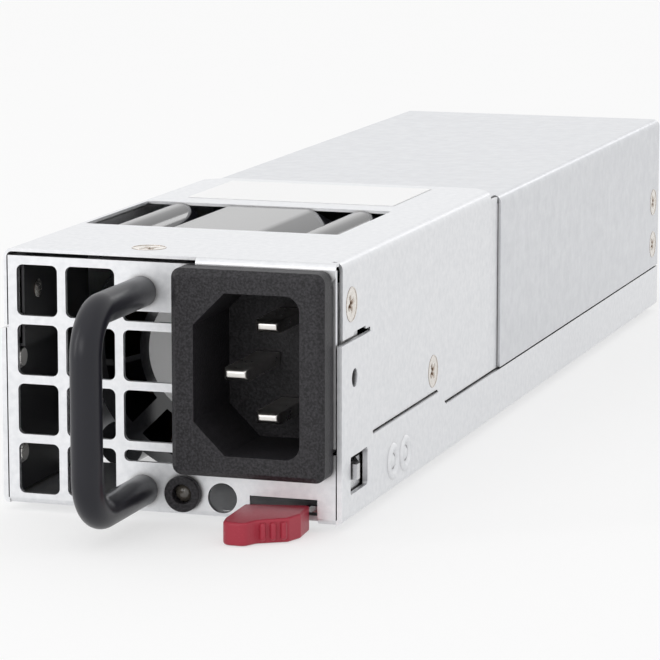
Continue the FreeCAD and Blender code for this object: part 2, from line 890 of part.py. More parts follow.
def inlet_housing():
    bezel_x = (inlet_x - bezel_width / 2, inlet_x + bezel_width / 2)
    bezel_z = (inlet_z - bezel_height / 2, inlet_z + bezel_height / 2)
    bezel = plate("y", bezel_x, bezel_z, bezel_face, front, bezel_corner)
    face_edges = [edge for edge in bezel.Edges if edge.BoundBox.YMax < bezel_face + 0.01]
    bezel = bezel.makeChamfer(bezel_edge, face_edges)
    lip_room = box((lip_left - sheet_gap, side), (front - lip_depth - tab_gap, front + 1),
                   (lip_bottom - sheet_gap, height + 1))
    bezel = bezel.cut(lip_room)
    body_x = (inlet_x - inlet_body_width / 2, inlet_x + inlet_body_width / 2)
    body_z = (inlet_z - inlet_body_height / 2, inlet_z + inlet_body_height / 2)
    body = plate("y", body_x, body_z, front, inlet_back, cell_corner)
    snaps = []
    for sign in (-1, 1):
        edge = inlet_x + sign * inlet_body_width / 2
        wedge = [(edge, panel_back), (edge + sign * inlet_snap_height, panel_back),
                 (edge, panel_back + inlet_snap_length)]
        snaps.append(prism("z", wedge, inlet_z - inlet_snap_width / 2, inlet_z + inlet_snap_width / 2))
    half_x = inlet_cavity_width / 2
    half_z = inlet_cavity_height / 2
    mouth = [
        (inlet_x - half_x, inlet_z - half_z + inlet_cavity_bevel),
        (inlet_x - half_x + inlet_cavity_bevel, inlet_z - half_z),
        (inlet_x + half_x, inlet_z - half_z, inlet_cavity_corner),
        (inlet_x + half_x, inlet_z + half_z, inlet_cavity_corner),
        (inlet_x - half_x + inlet_cavity_bevel, inlet_z + half_z),
        (inlet_x - half_x, inlet_z + half_z - inlet_cavity_bevel),
    ]
    cavity = prism("y", mouth, bezel_face - 1, inlet_floor)
    return join([bezel, body] + snaps).cut([cavity] + inlet_pins())


# Status light

def led_holder():
    flange = rod("y", led_x, led_z, front - led_flange_depth, front, led_flange_radius)
    body = rod("y", led_x, led_z, front, front + led_body_length, led_body_radius)
    bore = rod("y", led_x, led_z, front - led_flange_depth - 1, front + led_body_length + 1, led_radius)
    return join([flange, body]).cut(bore)


def status_led():
    """Lamp with a domed lens just behind the holder's face."""
    face = front - led_flange_depth / 2
    ball = (led_radius ** 2 + led_dome ** 2) / (2 * led_dome)
    lamp = rod("y", led_x, led_z, face, front + led_length, led_radius)
    return lamp.common(Part.makeSphere(ball, Vector(led_x, face + ball, led_z)).fuse(
        rod("y", led_x, led_z, face + led_dome, front + led_length, led_radius)))


# Latch

latch_rivet_backs = [front + rivet_back + i * rivet_pitch for i in (0, 1)]
latch_outer = wall_inner - latch_wall_gap
latch_inner = latch_outer - latch_strip
latch_hinge_y = front + latch_hinge_back


def latch_rivets():
    heads = []
    for y in latch_rivet_backs:
        shank = rod("x", y, rivet_z, latch_inner - rivet_end, side, rivet_shank)
        head = Part.makeCone(rivet_radius, rivet_radius - rivet_taper, rivet_head, Vector(side, y, rivet_z),
                             Vector(1, 0, 0))
        heads.append(join([shank, head]))
    return Part.makeCompound(heads)


def latch_spring_root():
    span = (latch_hinge_y + latch_hinge_gap / 2, front + latch_root_end)
    pieces = [box((latch_inner, latch_outer), span, (latch_strip_bottom, latch_strip_top))]
    for y in latch_rivet_backs:
        pieces.append(box((latch_outer, wall_inner), (y - rivet_pad / 2, y + rivet_pad / 2),
                          (rivet_z - rivet_pad / 2, rivet_z + rivet_pad / 2)))
    shanks = [rod("x", y, rivet_z, latch_inner - 1, side, rivet_shank) for y in latch_rivet_backs]
    return join(pieces).cut(shanks)


def latch_neck():
    """Strip that passes through the panel slot into the thumb tab."""
    tip = front - latch_neck_reach
    return box((latch_neck_x, latch_neck_x + latch_neck_width), (tip, front + latch_front),
               (latch_strip_bottom, latch_neck_top))


def latch_spring_arm():
    fore = front + latch_front
    strip = box((latch_inner, latch_outer), (fore, latch_hinge_y - latch_hinge_gap / 2),
                (latch_strip_bottom, latch_strip_top))
    cross = box((latch_neck_x, latch_outer), (fore - latch_strip / 2, fore + latch_strip / 2),
                (latch_strip_bottom, latch_neck_top))
    tooth_back = front + catch_back
    tooth = [
        (latch_outer - latch_strip / 2, tooth_back), (side + catch_reach, tooth_back),
        (side + catch_reach, tooth_back + catch_flat),
        (latch_outer - latch_strip / 2, tooth_back + catch_length),
    ]
    tooth = prism("z", tooth, catch_bottom, catch_bottom + catch_height)
    return join([strip, cross, latch_neck(), tooth])


def latch_tab():
    back = front - thumb_tab_back
    left = thumb_tab_left
    right = left + thumb_tab_width + thumb_tab_flare
    reach = front - thumb_tab_reach
    flank = front - thumb_tab_flank
    shoulder_x = left + thumb_tab_shoulder
    outline = [
        (left, back), (left + thumb_tab_width, back + thumb_tab_back_step),
        (right, flank, thumb_tab_shoulder_radius), (shoulder_x, reach, thumb_tab_shoulder_radius),
        (left + thumb_tab_bulge, reach, thumb_tab_nose),
        (left - thumb_tab_bulge, reach + thumb_tab_cheek, thumb_tab_cheek_radius),
    ]
    low = thumb_tab_bottom
    high = low + thumb_tab_thickness
    body = prism("z", outline, low, high)
    ribs = []
    for index in range(thumb_rib_count):
        share = (index + 1) / (thumb_rib_count + 1)
        x = shoulder_x + (right - shoulder_x) * share
        y = reach + (flank - reach) * share
        ribs.append(rod("z", x, y, low + thumb_rib_margin, high - thumb_rib_margin, thumb_rib_radius))
    return join([body] + ribs).cut(latch_neck())


# Fan

def fan_frame():
    half = fan_size / 2
    square = box((fan_x - half, fan_x + half), (fan_front, fan_rear), (fan_z - half, fan_z + half))
    barrel = rod("y", fan_x, fan_z, fan_front, fan_rear, fan_barrel_radius).common(square)
    posts = [rod("y", x, z, fan_front, fan_rear, fan_post_radius) for x, z in fan_posts]
    body = join([barrel] + posts)
    cuts = [rod("y", fan_x, fan_z, fan_front - 1, fan_rear + 1, fan_bore_radius)]
    cuts += [rod("y", x, z, fan_front - 1, fan_rear + 1, fan_post_hole) for x, z in fan_posts]
    body = body.cut(cuts)
    base_end = fan_front + fan_base_depth
    struts = []
    for index in range(fan_strut_count):
        strut = box((fan_hub_radius - 1, fan_bore_radius + 0.5), (fan_front, base_end),
                    (-fan_strut_width / 2, fan_strut_width / 2))
        strut.rotate(Vector(0, 0, 0), Vector(0, 1, 0), 45 + index * 360 / fan_strut_count)
        strut.translate(Vector(fan_x, 0, fan_z))
        struts.append(strut)
    base = rod("y", fan_x, fan_z, fan_front, base_end, fan_hub_radius)
    tube = ring("y", fan_x, fan_z, base_end, base_end + fan_tube_length, fan_tube_radius, fan_bearing_radius)
    return join([body, base, tube] + struts)


def fan_bearings():
    tube_start = fan_front + fan_base_depth
    inner = fan_shaft_radius + fan_shaft_clearance
    starts = (tube_start + fan_bearing_start, tube_start + fan_tube_length - fan_bearing_length)
    return Part.makeCompound([ring("y", fan_x, fan_z, start, start + fan_bearing_length,
                                   fan_bearing_radius, inner) for start in starts])


def fan_stator():
    start = fan_front + fan_stator_start
    end = start + fan_stator_length
    core_radius = fan_tube_radius + fan_core_wall
    core = ring("y", fan_x, fan_z, start, end, core_radius, fan_tube_radius)
    shoe_inner = fan_stator_radius - fan_pole_thickness
    arms = []
    for index in range(fan_coil_count):
        coil = box((core_radius - fan_core_wall / 2, shoe_inner + fan_pole_thickness / 4),
                   (start - fan_coil_overhang, end + fan_coil_overhang),
                   (-fan_coil_width / 2, fan_coil_width / 2))
        shoe = ring("y", 0, 0, start, end, fan_stator_radius, shoe_inner)
        shoe = shoe.common(box((0, fan_stator_radius), (start, end),
                               (-fan_pole_width / 2, fan_pole_width / 2)))
        for piece in (coil, shoe):
            piece.rotate(Vector(0, 0, 0), Vector(0, 1, 0), index * 360 / fan_coil_count)
            piece.translate(Vector(fan_x, 0, fan_z))
            arms.append(piece)
    return join([core] + arms)


def fan_blade():
    """One twisted, hollowed blade from inside the hub's wall to the bore."""
    tip_radius = fan_bore_radius - fan_blade_gap
    start = fan_front + fan_blade_start
    end = fan_front + fan_blade_end
    half = fan_blade_thickness / 2
    sections = []
    for distance in (fan_magnet_outer - 1, tip_radius + 1):
        sweep = distance * math.sin(math.radians(fan_blade_turn / 2)) * (fan_magnet_outer / distance) ** 0.5
        corners = [Vector(distance, start + (end - start) * share, sweep * (2 * share - 1) + bow + offset)
                   for share, bow, offset in ((0, 0, -half), (0, 0, half), (0.5, fan_blade_bow, half),
                                              (1, 0, half), (1, 0, -half), (0.5, fan_blade_bow, -half))]
        edges = [Part.LineSegment(corners[0], corners[1]), Part.Arc(corners[1], corners[2], corners[3]),
                 Part.LineSegment(corners[3], corners[4]), Part.Arc(corners[4], corners[5], corners[0])]
        sections.append(Part.Wire([edge.toShape() for edge in edges]))
    blade = Part.makeLoft(sections, True, True)
    return blade.common(rod("y", 0, 0, fan_front, fan_rear, tip_radius))


def fan_rotor():
    start = fan_front + fan_cup_start
    end = fan_front + fan_cup_end
    cup = ring("y", 0, 0, start, end - fan_cup_floor, fan_cup_radius, fan_magnet_outer)
    floor = rod("y", 0, 0, end - fan_cup_floor, end, fan_cup_radius)
    blades = []
    for index in range(fan_blade_count):
        blade = fan_blade()
        blade.rotate(Vector(0, 0, 0), Vector(0, 1, 0), index * 360 / fan_blade_count)
        blades.append(blade)
    body = join([cup, floor] + blades)
    body = body.cut(rod("y", 0, 0, start - 1, end - fan_cup_floor, fan_magnet_outer))
    body = body.cut(rod("y", 0, 0, start - 1, end + 1, fan_shaft_radius))
    body.translate(Vector(fan_x, 0, fan_z))
    return body


def fan_screw(x, z):
    """Screw through a tray tab into the back of a fan post."""
    seat = fan_rear + tray_sheet
    shank = rod("y", x, z, seat - fan_screw_length, seat, fan_post_hole)
    return join([shank, rod("y", x, z, seat, seat + fan_screw_head_height, fan_screw_head)])


# Board

def spacer_places():
    x = board_half - spacer_inset_x
    return [(sign * x, y) for y in (board_front + spacer_front_inset, board_rear - spacer_rear_inset)
            for sign in (-1, 1)]


def main_board():
    body = box((-board_half, board_half), (board_front, board_rear), (board_bottom, board_top))
    tongue = box((-tongue_half, tongue_half), (board_rear - 1, rear + tongue_reach),
                 (board_bottom, board_top))
    holes = [rod("z", x, y, board_bottom - 1, board_top + 1, board_screw_radius) for x, y in spacer_places()]
    return join([body, tongue]).cut(holes)


def edge_contacts():
    end = rear + tongue_reach - contact_inset
    strips = []
    for index in range(contact_count):
        x = (index - (contact_count - 1) / 2) * contact_pitch
        span = (x - contact_width / 2, x + contact_width / 2)
        for low in (board_bottom - contact_thickness, board_top):
            strips.append(box(span, (end - contact_length, end), (low, low + contact_thickness)))
    return Part.makeCompound(strips)


def board_spacers():
    """Hexagonal standoffs under the board's corners."""
    spacers = []
    for x, y in spacer_places():
        corners = [math.radians(60 * k) for k in range(6)]
        outline = [(x + spacer_radius * math.cos(a), y + spacer_radius * math.sin(a)) for a in corners]
        hole = rod("z", x, y, 0, board_bottom + 1, board_screw_radius)
        spacers.append(prism("z", outline, tray_sheet, board_bottom).cut(hole))
    return Part.makeCompound(spacers)


def board_screws():
    screws = []
    for x, y in spacer_places():
        shank = rod("z", x, y, 0, board_top, board_screw_radius)
        head = rod("z", x, y, board_top, board_top + board_screw_head_height, board_screw_head)
        screws.append(join([shank, head]))
    return Part.makeCompound(screws)


def board_insulator():
    """Film on the floor between the two rows of standoffs."""
    half = board_half - spacer_inset_x - spacer_radius - insulator_margin
    return box((-half, half), (board_front, board_rear), (tray_sheet, tray_sheet + insulator_thickness))


# Liner

def side_liner():
    """Film on the left wall, stepped inwards above to clear the front tab."""
    lower_back = tab_gap - cover_inner
    lower_face = lower_back + liner_thickness
    upper_back = liner_inset - wall_inner
    upper_face = upper_back + liner_thickness
    profile = [
        (lower_back, liner_bottom), (lower_face, liner_bottom), (lower_face, liner_step),
        (upper_face, liner_step), (upper_face, liner_top), (upper_back, liner_top),
        (upper_back, liner_step + liner_thickness), (lower_back, liner_step + liner_thickness),
    ]
    return prism("y", profile, front + liner_start, front + liner_end).cut(liner_rivets())


def liner_rivets():
    face = tab_gap - cover_inner + liner_thickness
    y = front + liner_rivet_back
    rivets = []
    for z in liner_rivet_heights:
        head = Part.makeCone(liner_rivet_radius, liner_rivet_radius - liner_rivet_taper, liner_rivet_head,
                             Vector(face, y, z), Vector(1, 0, 0))
        rivets.append(join([head, rod("x", y, z, -side, face, rivet_shank)]))
    return Part.makeCompound(rivets)


# Parts on the board

def standing_box(x, back, box_width, depth, box_height, lift=0):
    """Block on the board, placed by its middle in X and its distance from the board's front edge."""
    y = board_front + back
    low = board_top + lift
    return box((x - box_width / 2, x + box_width / 2), (y, y + depth), (low, low + box_height))


def toroid(axis, u, v, middle, core, wire_thickness):
    """Ring core and its two half windings; core is (outer, inner, length)."""
    outer, inner, core_length = core
    half = core_length / 2
    core_ring = ring(axis, u, v, middle - half, middle + half, outer, inner)
    winding = ring(axis, u, v, middle - half - wire_thickness, middle + half + wire_thickness,
                   outer + wire_thickness, inner - wire_thickness)
    gap = [(u - winding_gap / 2, v - 2 * outer), (u + winding_gap / 2, v - 2 * outer),
           (u + winding_gap / 2, v + 2 * outer), (u - winding_gap / 2, v + 2 * outer)]
    gap = prism(axis, gap, middle - core_length, middle + core_length)
    return core_ring, winding.cut([gap, core_ring])


def framed_choke(size, leg, depth):
    """Square core on edge at the origin, and a winding round each of its upright legs."""
    half = size / 2
    window = half - leg
    core = box((-half, half), (-depth / 2, depth / 2), (0, size))
    core = core.cut(box((-window, window), (-depth, depth), (leg, size - leg)))
    reach = depth / 2 + winding_thickness
    windings = []
    for sign in (-1, 1):
        inner = sign * (window - winding_thickness)
        outer = sign * (half + winding_thickness)
        windings.append(box((min(inner, outer), max(inner, outer)), (-reach, reach),
                            (leg + winding_slip, size - leg - winding_slip)))
    return core, Part.makeCompound(windings).cut(core)


def on_board(shape, x, back, turn):
    """Shape moved from the origin to its place on the board, turned about Z."""
    shape.rotate(Vector(0, 0, 0), Vector(0, 0, 1), turn)
    shape.translate(Vector(x, board_front + back, board_top))
    return shape


def filter_chokes():
    """Cores and windings of the chokes, in step."""
    pairs = [framed_choke(filter_choke_size, filter_choke_leg, filter_choke_depth)
             for _ in filter_choke_backs]
    return [[on_board(shape, filter_choke_x, back, 0) for back, shape in zip(filter_choke_backs, shapes)]
            for shapes in zip(*pairs)]


def boost_choke():
    pair = framed_choke(boost_choke_size, boost_choke_leg, boost_choke_depth)
    return [on_board(shape, boost_choke_x, boost_choke_back, 90) for shape in pair]


def output_choke():
    core = (output_choke_outer, output_choke_inner, output_choke_height)
    middle = board_top + output_choke_height / 2 + winding_thickness
    y = board_front + output_choke_back
    return join(list(toroid("z", output_choke_x, y, middle, core, winding_thickness)))


def fuse():
    z = board_top + fuse_lift + fuse_radius
    start = board_front + fuse_back
    end = start + fuse_length
    tube = rod("y", fuse_x, z, start, end, fuse_radius - fuse_cap_step)
    caps = [rod("y", fuse_x, z, start, start + fuse_cap_length, fuse_radius),
            rod("y", fuse_x, z, end - fuse_cap_length, end, fuse_radius)]
    feet = []
    for offset in (fuse_cap_length / 4, fuse_length - fuse_cap_length * 0.75):
        feet.append(standing_box(fuse_x, fuse_back + offset, fuse_radius, fuse_cap_length / 2,
                                 fuse_lift + fuse_radius))
    return join([tube] + caps + feet)


def leaded_disc(x, back, radius, thickness):
    """Coated disc that stands on two wire leads, its flat faces to the sides."""
    z = board_top + lead_length + radius
    y = board_front + back
    disc = rod("x", y, z, x - thickness / 2, x + thickness / 2, radius)
    leads = []
    for sign in (-1, 1):
        middle = y + sign * radius / 2
        leads.append(box((x - lead_width / 2, x + lead_width / 2),
                         (middle - lead_width / 2, middle + lead_width / 2), (board_top, z)))
    return join([disc] + leads)


def bridge_rectifier():
    body = standing_box(bridge_x, bridge_back, bridge_width, bridge_thickness, bridge_height, lead_length)
    leads = []
    for index in range(4):
        x = bridge_x + (index - 1.5) * bridge_lead_pitch
        leads.append(standing_box(x, bridge_back + bridge_thickness / 3, bridge_lead_width,
                                  bridge_lead_thickness, lead_length))
    return join([body] + leads)


def bulk_capacitor():
    z = board_top + bulk_radius
    start = board_front + bulk_back
    can = rod("y", bulk_x, z, start, start + bulk_length, bulk_radius)
    rims = [edge for edge in can.Edges if edge.Curve.TypeId == "Part::GeomCircle"]
    return can.makeChamfer(bulk_edge, rims)


def primary_heatsink():
    y = (board_front + heatsink_back, board_front + heatsink_back + heatsink_length)
    inner = heatsink_x
    outer = heatsink_x + heatsink_thickness
    body = [box((inner, outer), y, (board_top, board_top + heatsink_height))]
    z = board_top + heatsink_height - heatsink_fin_thickness
    while z > board_top + heatsink_fin_pitch:
        body.append(box((outer, outer + heatsink_fin), y, (z, z + heatsink_fin_thickness)))
        z -= heatsink_fin_pitch
    return join(body)


def transistor(x_side, y_side, along_x):
    """Moulded package with three legs; its back face is at x_side or y_side."""
    half = transistor_width / 2
    low = board_top + transistor_lead_length
    package_z = (low, low + transistor_height)
    leg_z = (board_top, low)
    pieces = []
    if along_x:
        middle_x, face = x_side, y_side
        leg_face = face + transistor_thickness / 3
        depth = (leg_face, leg_face + transistor_lead_thickness)
        pieces.append(box((middle_x - half, middle_x + half), (face, face + transistor_thickness), package_z))
        for step in (-1, 0, 1):
            x = middle_x + step * transistor_lead_pitch
            pieces.append(box((x - transistor_lead_width / 2, x + transistor_lead_width / 2), depth, leg_z))
    else:
        face, middle_y = x_side, y_side
        leg_face = face - transistor_thickness / 3
        depth = (leg_face - transistor_lead_thickness, leg_face)
        pieces.append(box((face - transistor_thickness, face), (middle_y - half, middle_y + half), package_z))
        for step in (-1, 0, 1):
            y = middle_y + step * transistor_lead_pitch
            pieces.append(box(depth, (y - transistor_lead_width / 2, y + transistor_lead_width / 2), leg_z))
    return join(pieces)


def primary_transistors():
    start = board_front + primary_transistor_start
    return Part.makeCompound([transistor(heatsink_x, start + index * primary_transistor_pitch, False)
                              for index in range(primary_transistor_count)])


def secondary_heatsink():
    x = secondary_sink_left + secondary_sink_width / 2
    return standing_box(x, secondary_sink_back, secondary_sink_width, heatsink_thickness,
                        secondary_sink_height)


def secondary_transistors():
    face = board_front + secondary_sink_back + heatsink_thickness
    middle = secondary_sink_left + secondary_sink_width / 2
    shift = (secondary_transistor_count - 1) / 2
    return Part.makeCompound([
        transistor(middle + (index - shift) * secondary_transistor_pitch, face, True)
        for index in range(secondary_transistor_count)])


def transformer_core():
    """Closed core with two windows round the middle leg."""
    depth_shift = (transformer_depth - transformer_core_depth) / 2
    body = standing_box(transformer_x, transformer_back + depth_shift, transformer_width,
                        transformer_core_depth, transformer_height)
    window_width = (transformer_width - 4 * transformer_yoke) / 2 + transformer_yoke / 2
    leg_half = transformer_width / 2 - transformer_yoke - window_width
    windows = []
    for sign in (-1, 1):
        inner = transformer_x + sign * leg_half
        outer = inner + sign * window_width
        windows.append(box((min(inner, outer), max(inner, outer)), (front, rear),
                           (board_top + transformer_yoke, board_top + transformer_height - transformer_yoke)))
    return body.cut(windows)


def transformer_winding():
    """Wound bobbin that fills the windows and wraps the middle leg."""
    half = transformer_width / 2 - transformer_yoke - transformer_window_gap
    y = (board_front + transformer_back, board_front + transformer_back + transformer_depth)
    z = (board_top + transformer_yoke, board_top + transformer_height - transformer_yoke)
    body = plate("z", (transformer_x - half, transformer_x + half), y, z[0], z[1], transformer_winding_corner)
    return body.cut(transformer_core())


def standby_transformer():
    body = standing_box(standby_x, standby_back, standby_size, standby_size, standby_size)
    core = standing_box(standby_x, standby_back - standby_core_margin, standby_core_width,
                        standby_size + 2 * standby_core_margin, standby_size + standby_core_margin)
    return join([body, core])


def output_capacitors():
    cans = []
    for index in range(output_capacitor_count):
        x = output_capacitor_left + index * output_capacitor_pitch
        y = board_front + output_capacitor_back
        cans.append(rod("z", x, y, board_top, board_top + output_capacitor_height, output_capacitor_radius))
    return Part.makeCompound(cans)


def control_board():
    y = (board_front + control_back, board_front + control_back + control_length)
    body = [box((control_x, control_x + control_thickness), y, (board_top, board_top + control_height))]
    middle_z = board_top + control_height / 2
    for index in (0, 1):
        start = y[0] + (control_length - control_chip_pitch - control_chip) / 2 + index * control_chip_pitch
        body.append(box((control_x - control_chip_thickness, control_x), (start, start + control_chip),
                        (middle_z - control_chip / 2, middle_z + control_chip / 2)))
    return join(body)


line_pin, neutral_pin, earth_pin = inlet_pins()
choke_cores, choke_windings = filter_chokes()
boost_core, boost_winding = boost_choke()
fan_cup_face = fan_front + fan_cup_end - fan_cup_floor

write("chassis_tray", chassis_tray())
write("front_cover", front_cover())
write("rear_cover", rear_cover())
write("cover_screws", Part.makeCompound(cover_screws))
write("blank_label", blank_label())
write("side_liner", side_liner())
write("liner_rivets", liner_rivets())
write("pull_handle", pull_handle())
write("handle_screws", Part.makeCompound(handle_screws))
write("inlet_housing", inlet_housing())
write("inlet_line_pin", line_pin)
write("inlet_neutral_pin", neutral_pin)
write("inlet_earth_pin", earth_pin)
write("led_holder", led_holder())
write("status_led", status_led())
write("latch_spring_root", latch_spring_root())
write("latch_rivets", latch_rivets())
write("latch_spring_arm", latch_spring_arm())
write("latch_tab", latch_tab())
write("fan_frame", fan_frame())
write("fan_sticker", rod("y", fan_x, fan_z, fan_front - fan_sticker_thickness, fan_front,
                         fan_sticker_radius))
write("fan_bearings", fan_bearings())
write("fan_stator", fan_stator())
write("fan_rotor", fan_rotor())
write("fan_magnet", ring("y", fan_x, fan_z, fan_cup_face - fan_magnet_length, fan_cup_face, fan_magnet_outer,
                         fan_magnet_inner))
write("fan_shaft", rod("y", fan_x, fan_z, fan_front + fan_base_depth + fan_shaft_end_play,
                       fan_front + fan_cup_end, fan_shaft_radius))
write("fan_screws", Part.makeCompound([fan_screw(x, z) for x, z in fan_posts if z < fan_z]))
write("main_board", main_board())
write("edge_contacts", edge_contacts())
write("board_spacers", board_spacers())
write("board_screws", board_screws())
write("board_insulator", board_insulator())
write("fuse", fuse())
write("varistor", leaded_disc(varistor_x, varistor_back + varistor_radius, varistor_radius,
                              varistor_thickness))
write("x_capacitors", Part.makeCompound([
    standing_box(x_capacitor_x, back, x_capacitor_width, x_capacitor_depth, x_capacitor_height)
    for back in x_capacitor_backs]))
write("y_capacitors", Part.makeCompound([
    leaded_disc(y_capacitor_x, back, y_capacitor_radius, y_capacitor_thickness)
    for back in y_capacitor_backs]))
write("filter_choke_cores", Part.makeCompound(choke_cores))
write("filter_choke_windings", Part.makeCompound(choke_windings))
write("relay", standing_box(relay_x, relay_back, relay_width, relay_length, relay_height))
write("bridge_rectifier", bridge_rectifier())
write("boost_choke_core", boost_core)
write("boost_choke_winding", boost_winding)
write("bulk_capacitor", bulk_capacitor())
write("primary_heatsink", primary_heatsink())
write("primary_transistors", primary_transistors())
write("transformer_core", transformer_core())
write("transformer_winding", transformer_winding())
write("standby_transformer", standby_transformer())
write("secondary_heatsink", secondary_heatsink())
write("secondary_transistors", secondary_transistors())
write("output_choke", output_choke())
write("output_capacitors", output_capacitors())
write("control_board", control_board())
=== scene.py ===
import math

import bmesh
import bpy
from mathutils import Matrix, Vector


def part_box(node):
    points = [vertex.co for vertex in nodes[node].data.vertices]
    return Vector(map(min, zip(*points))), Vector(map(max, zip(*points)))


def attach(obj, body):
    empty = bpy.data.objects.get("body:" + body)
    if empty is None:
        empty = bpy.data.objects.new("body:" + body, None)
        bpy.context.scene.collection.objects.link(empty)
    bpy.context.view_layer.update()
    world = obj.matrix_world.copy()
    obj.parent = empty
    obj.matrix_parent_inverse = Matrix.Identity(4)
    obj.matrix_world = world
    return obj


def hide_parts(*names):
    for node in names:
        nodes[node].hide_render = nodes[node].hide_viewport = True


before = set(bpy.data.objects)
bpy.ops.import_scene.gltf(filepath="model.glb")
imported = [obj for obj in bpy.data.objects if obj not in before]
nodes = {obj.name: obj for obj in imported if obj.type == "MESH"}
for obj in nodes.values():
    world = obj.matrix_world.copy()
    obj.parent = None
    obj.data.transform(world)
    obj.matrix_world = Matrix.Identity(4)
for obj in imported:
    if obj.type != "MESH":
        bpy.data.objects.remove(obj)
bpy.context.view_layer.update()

mm = 0.001
print("frame loaded,", len(nodes), "nodes")


def addNode(tree, kind, x, y, **settings):
    node = tree.nodes.new(kind)
    node.location = (x, y)
    for name, value in settings.items():
        setattr(node, name, value)
    return node


def newGroup(name, kind, inputs, outputs):
    group = bpy.data.node_groups.new(name, kind)
    for socketName, socketType, default in inputs:
        socket = group.interface.new_socket(socketName, in_out="INPUT", socket_type=socketType)
        if default is not None:
            socket.default_value = default
    for socketName, socketType in outputs:
        group.interface.new_socket(socketName, in_out="OUTPUT", socket_type=socketType)
    return group


def mathNode(tree, operation, x, y, first, second=None, clamp=False):
    node = addNode(tree, "ShaderNodeMath", x, y, operation=operation, use_clamp=clamp)
    for index, value in enumerate((first, second)):
        if value is None:
            continue
        if isinstance(value, (int, float)):
            node.inputs[index].default_value = value
        else:
            tree.links.new(value, node.inputs[index])
    return node.outputs[0]


def mixColor(tree, x, y, factor, first, second):
    # Inputs 6 and 7 and output 2 are the colours of the mix node.
    node = addNode(tree, "ShaderNodeMix", x, y, data_type="RGBA")
    for socket, value in ((node.inputs[0], factor), (node.inputs[6], first), (node.inputs[7], second)):
        if isinstance(value, (int, float)):
            socket.default_value = value
        elif isinstance(value, tuple):
            socket.default_value = (*value, 1)
        else:
            tree.links.new(value, socket)
    return node.outputs[2]


def makeEdgeWear():
    # Bright where the rounded normal leaves the true one, broken up by noise.
    group = newGroup("edgeWear", "ShaderNodeTree",
                     [("Radius", "NodeSocketFloat", 0.4 * mm), ("Strength", "NodeSocketFloat", 1.0),
                      ("Breakup Scale", "NodeSocketFloat", 600.0)],
                     [("Mask", "NodeSocketFloat")])
    inputs = addNode(group, "NodeGroupInput", -900, 0)
    outputs = addNode(group, "NodeGroupOutput", 500, 0)
    bevel = addNode(group, "ShaderNodeBevel", -650, 100, samples=4)
    geometry = addNode(group, "ShaderNodeNewGeometry", -650, -80)
    coords = addNode(group, "ShaderNodeTexCoord", -650, -320)
    noise = addNode(group, "ShaderNodeTexNoise", -400, -280)
    noise.inputs["Detail"].default_value = 3.0
    dot = addNode(group, "ShaderNodeVectorMath", -400, 60, operation="DOT_PRODUCT")
    group.links.new(inputs.outputs["Radius"], bevel.inputs["Radius"])
    group.links.new(bevel.outputs[0], dot.inputs[0])
    group.links.new(geometry.outputs["Normal"], dot.inputs[1])
    group.links.new(coords.outputs["Object"], noise.inputs["Vector"])
    group.links.new(inputs.outputs["Breakup Scale"], noise.inputs["Scale"])
    bend = mathNode(group, "SUBTRACT", -200, 60, 1.0, dot.outputs["Value"])
    bend = mathNode(group, "MULTIPLY", -40, 60, bend, 6.0, clamp=True)
    broken = mathNode(group, "MULTIPLY", 120, 40, bend, noise.outputs["Fac"])
    broken = mathNode(group, "MULTIPLY", 280, 20, broken, inputs.outputs["Strength"], clamp=True)
    group.links.new(broken, outputs.inputs["Mask"])
    return group


def makeSheetGrain():
    # Zinc mottle with faint rolling lines along the sheet.
    group = newGroup("sheetGrain", "ShaderNodeTree",
                     [("Mottle Scale", "NodeSocketFloat", 420.0), ("Line Scale", "NodeSocketFloat", 2600.0),
                      ("Line Direction", "NodeSocketVector", (0.03, 1.0, 1.0))],
                     [("Mottle", "NodeSocketFloat"), ("Lines", "NodeSocketFloat"), ("Height", "NodeSocketFloat")])
    inputs = addNode(group, "NodeGroupInput", -1000, 0)
    outputs = addNode(group, "NodeGroupOutput", 400, 0)
    coords = addNode(group, "ShaderNodeTexCoord", -1000, -250)
    mottle = addNode(group, "ShaderNodeTexNoise", -600, 200)
    mottle.inputs["Detail"].default_value = 5.0
    mottle.inputs["Roughness"].default_value = 0.62
    stretch = addNode(group, "ShaderNodeVectorMath", -780, -120, operation="MULTIPLY")
    lines = addNode(group, "ShaderNodeTexNoise", -600, -120)
    lines.inputs["Detail"].default_value = 2.0
    group.links.new(coords.outputs["Object"], mottle.inputs["Vector"])
    group.links.new(inputs.outputs["Mottle Scale"], mottle.inputs["Scale"])
    group.links.new(coords.outputs["Object"], stretch.inputs[0])
    group.links.new(inputs.outputs["Line Direction"], stretch.inputs[1])
    group.links.new(stretch.outputs[0], lines.inputs["Vector"])
    group.links.new(inputs.outputs["Line Scale"], lines.inputs["Scale"])
    soft = addNode(group, "ShaderNodeMapRange", -380, 200)
    soft.inputs["From Min"].default_value = 0.3
    soft.inputs["From Max"].default_value = 0.7
    group.links.new(mottle.outputs["Fac"], soft.inputs["Value"])
    height = mathNode(group, "ADD", 0, -40, soft.outputs[0], lines.outputs["Fac"])
    group.links.new(soft.outputs[0], outputs.inputs["Mottle"])
    group.links.new(lines.outputs["Fac"], outputs.inputs["Lines"])
    group.links.new(height, outputs.inputs["Height"])
    return group


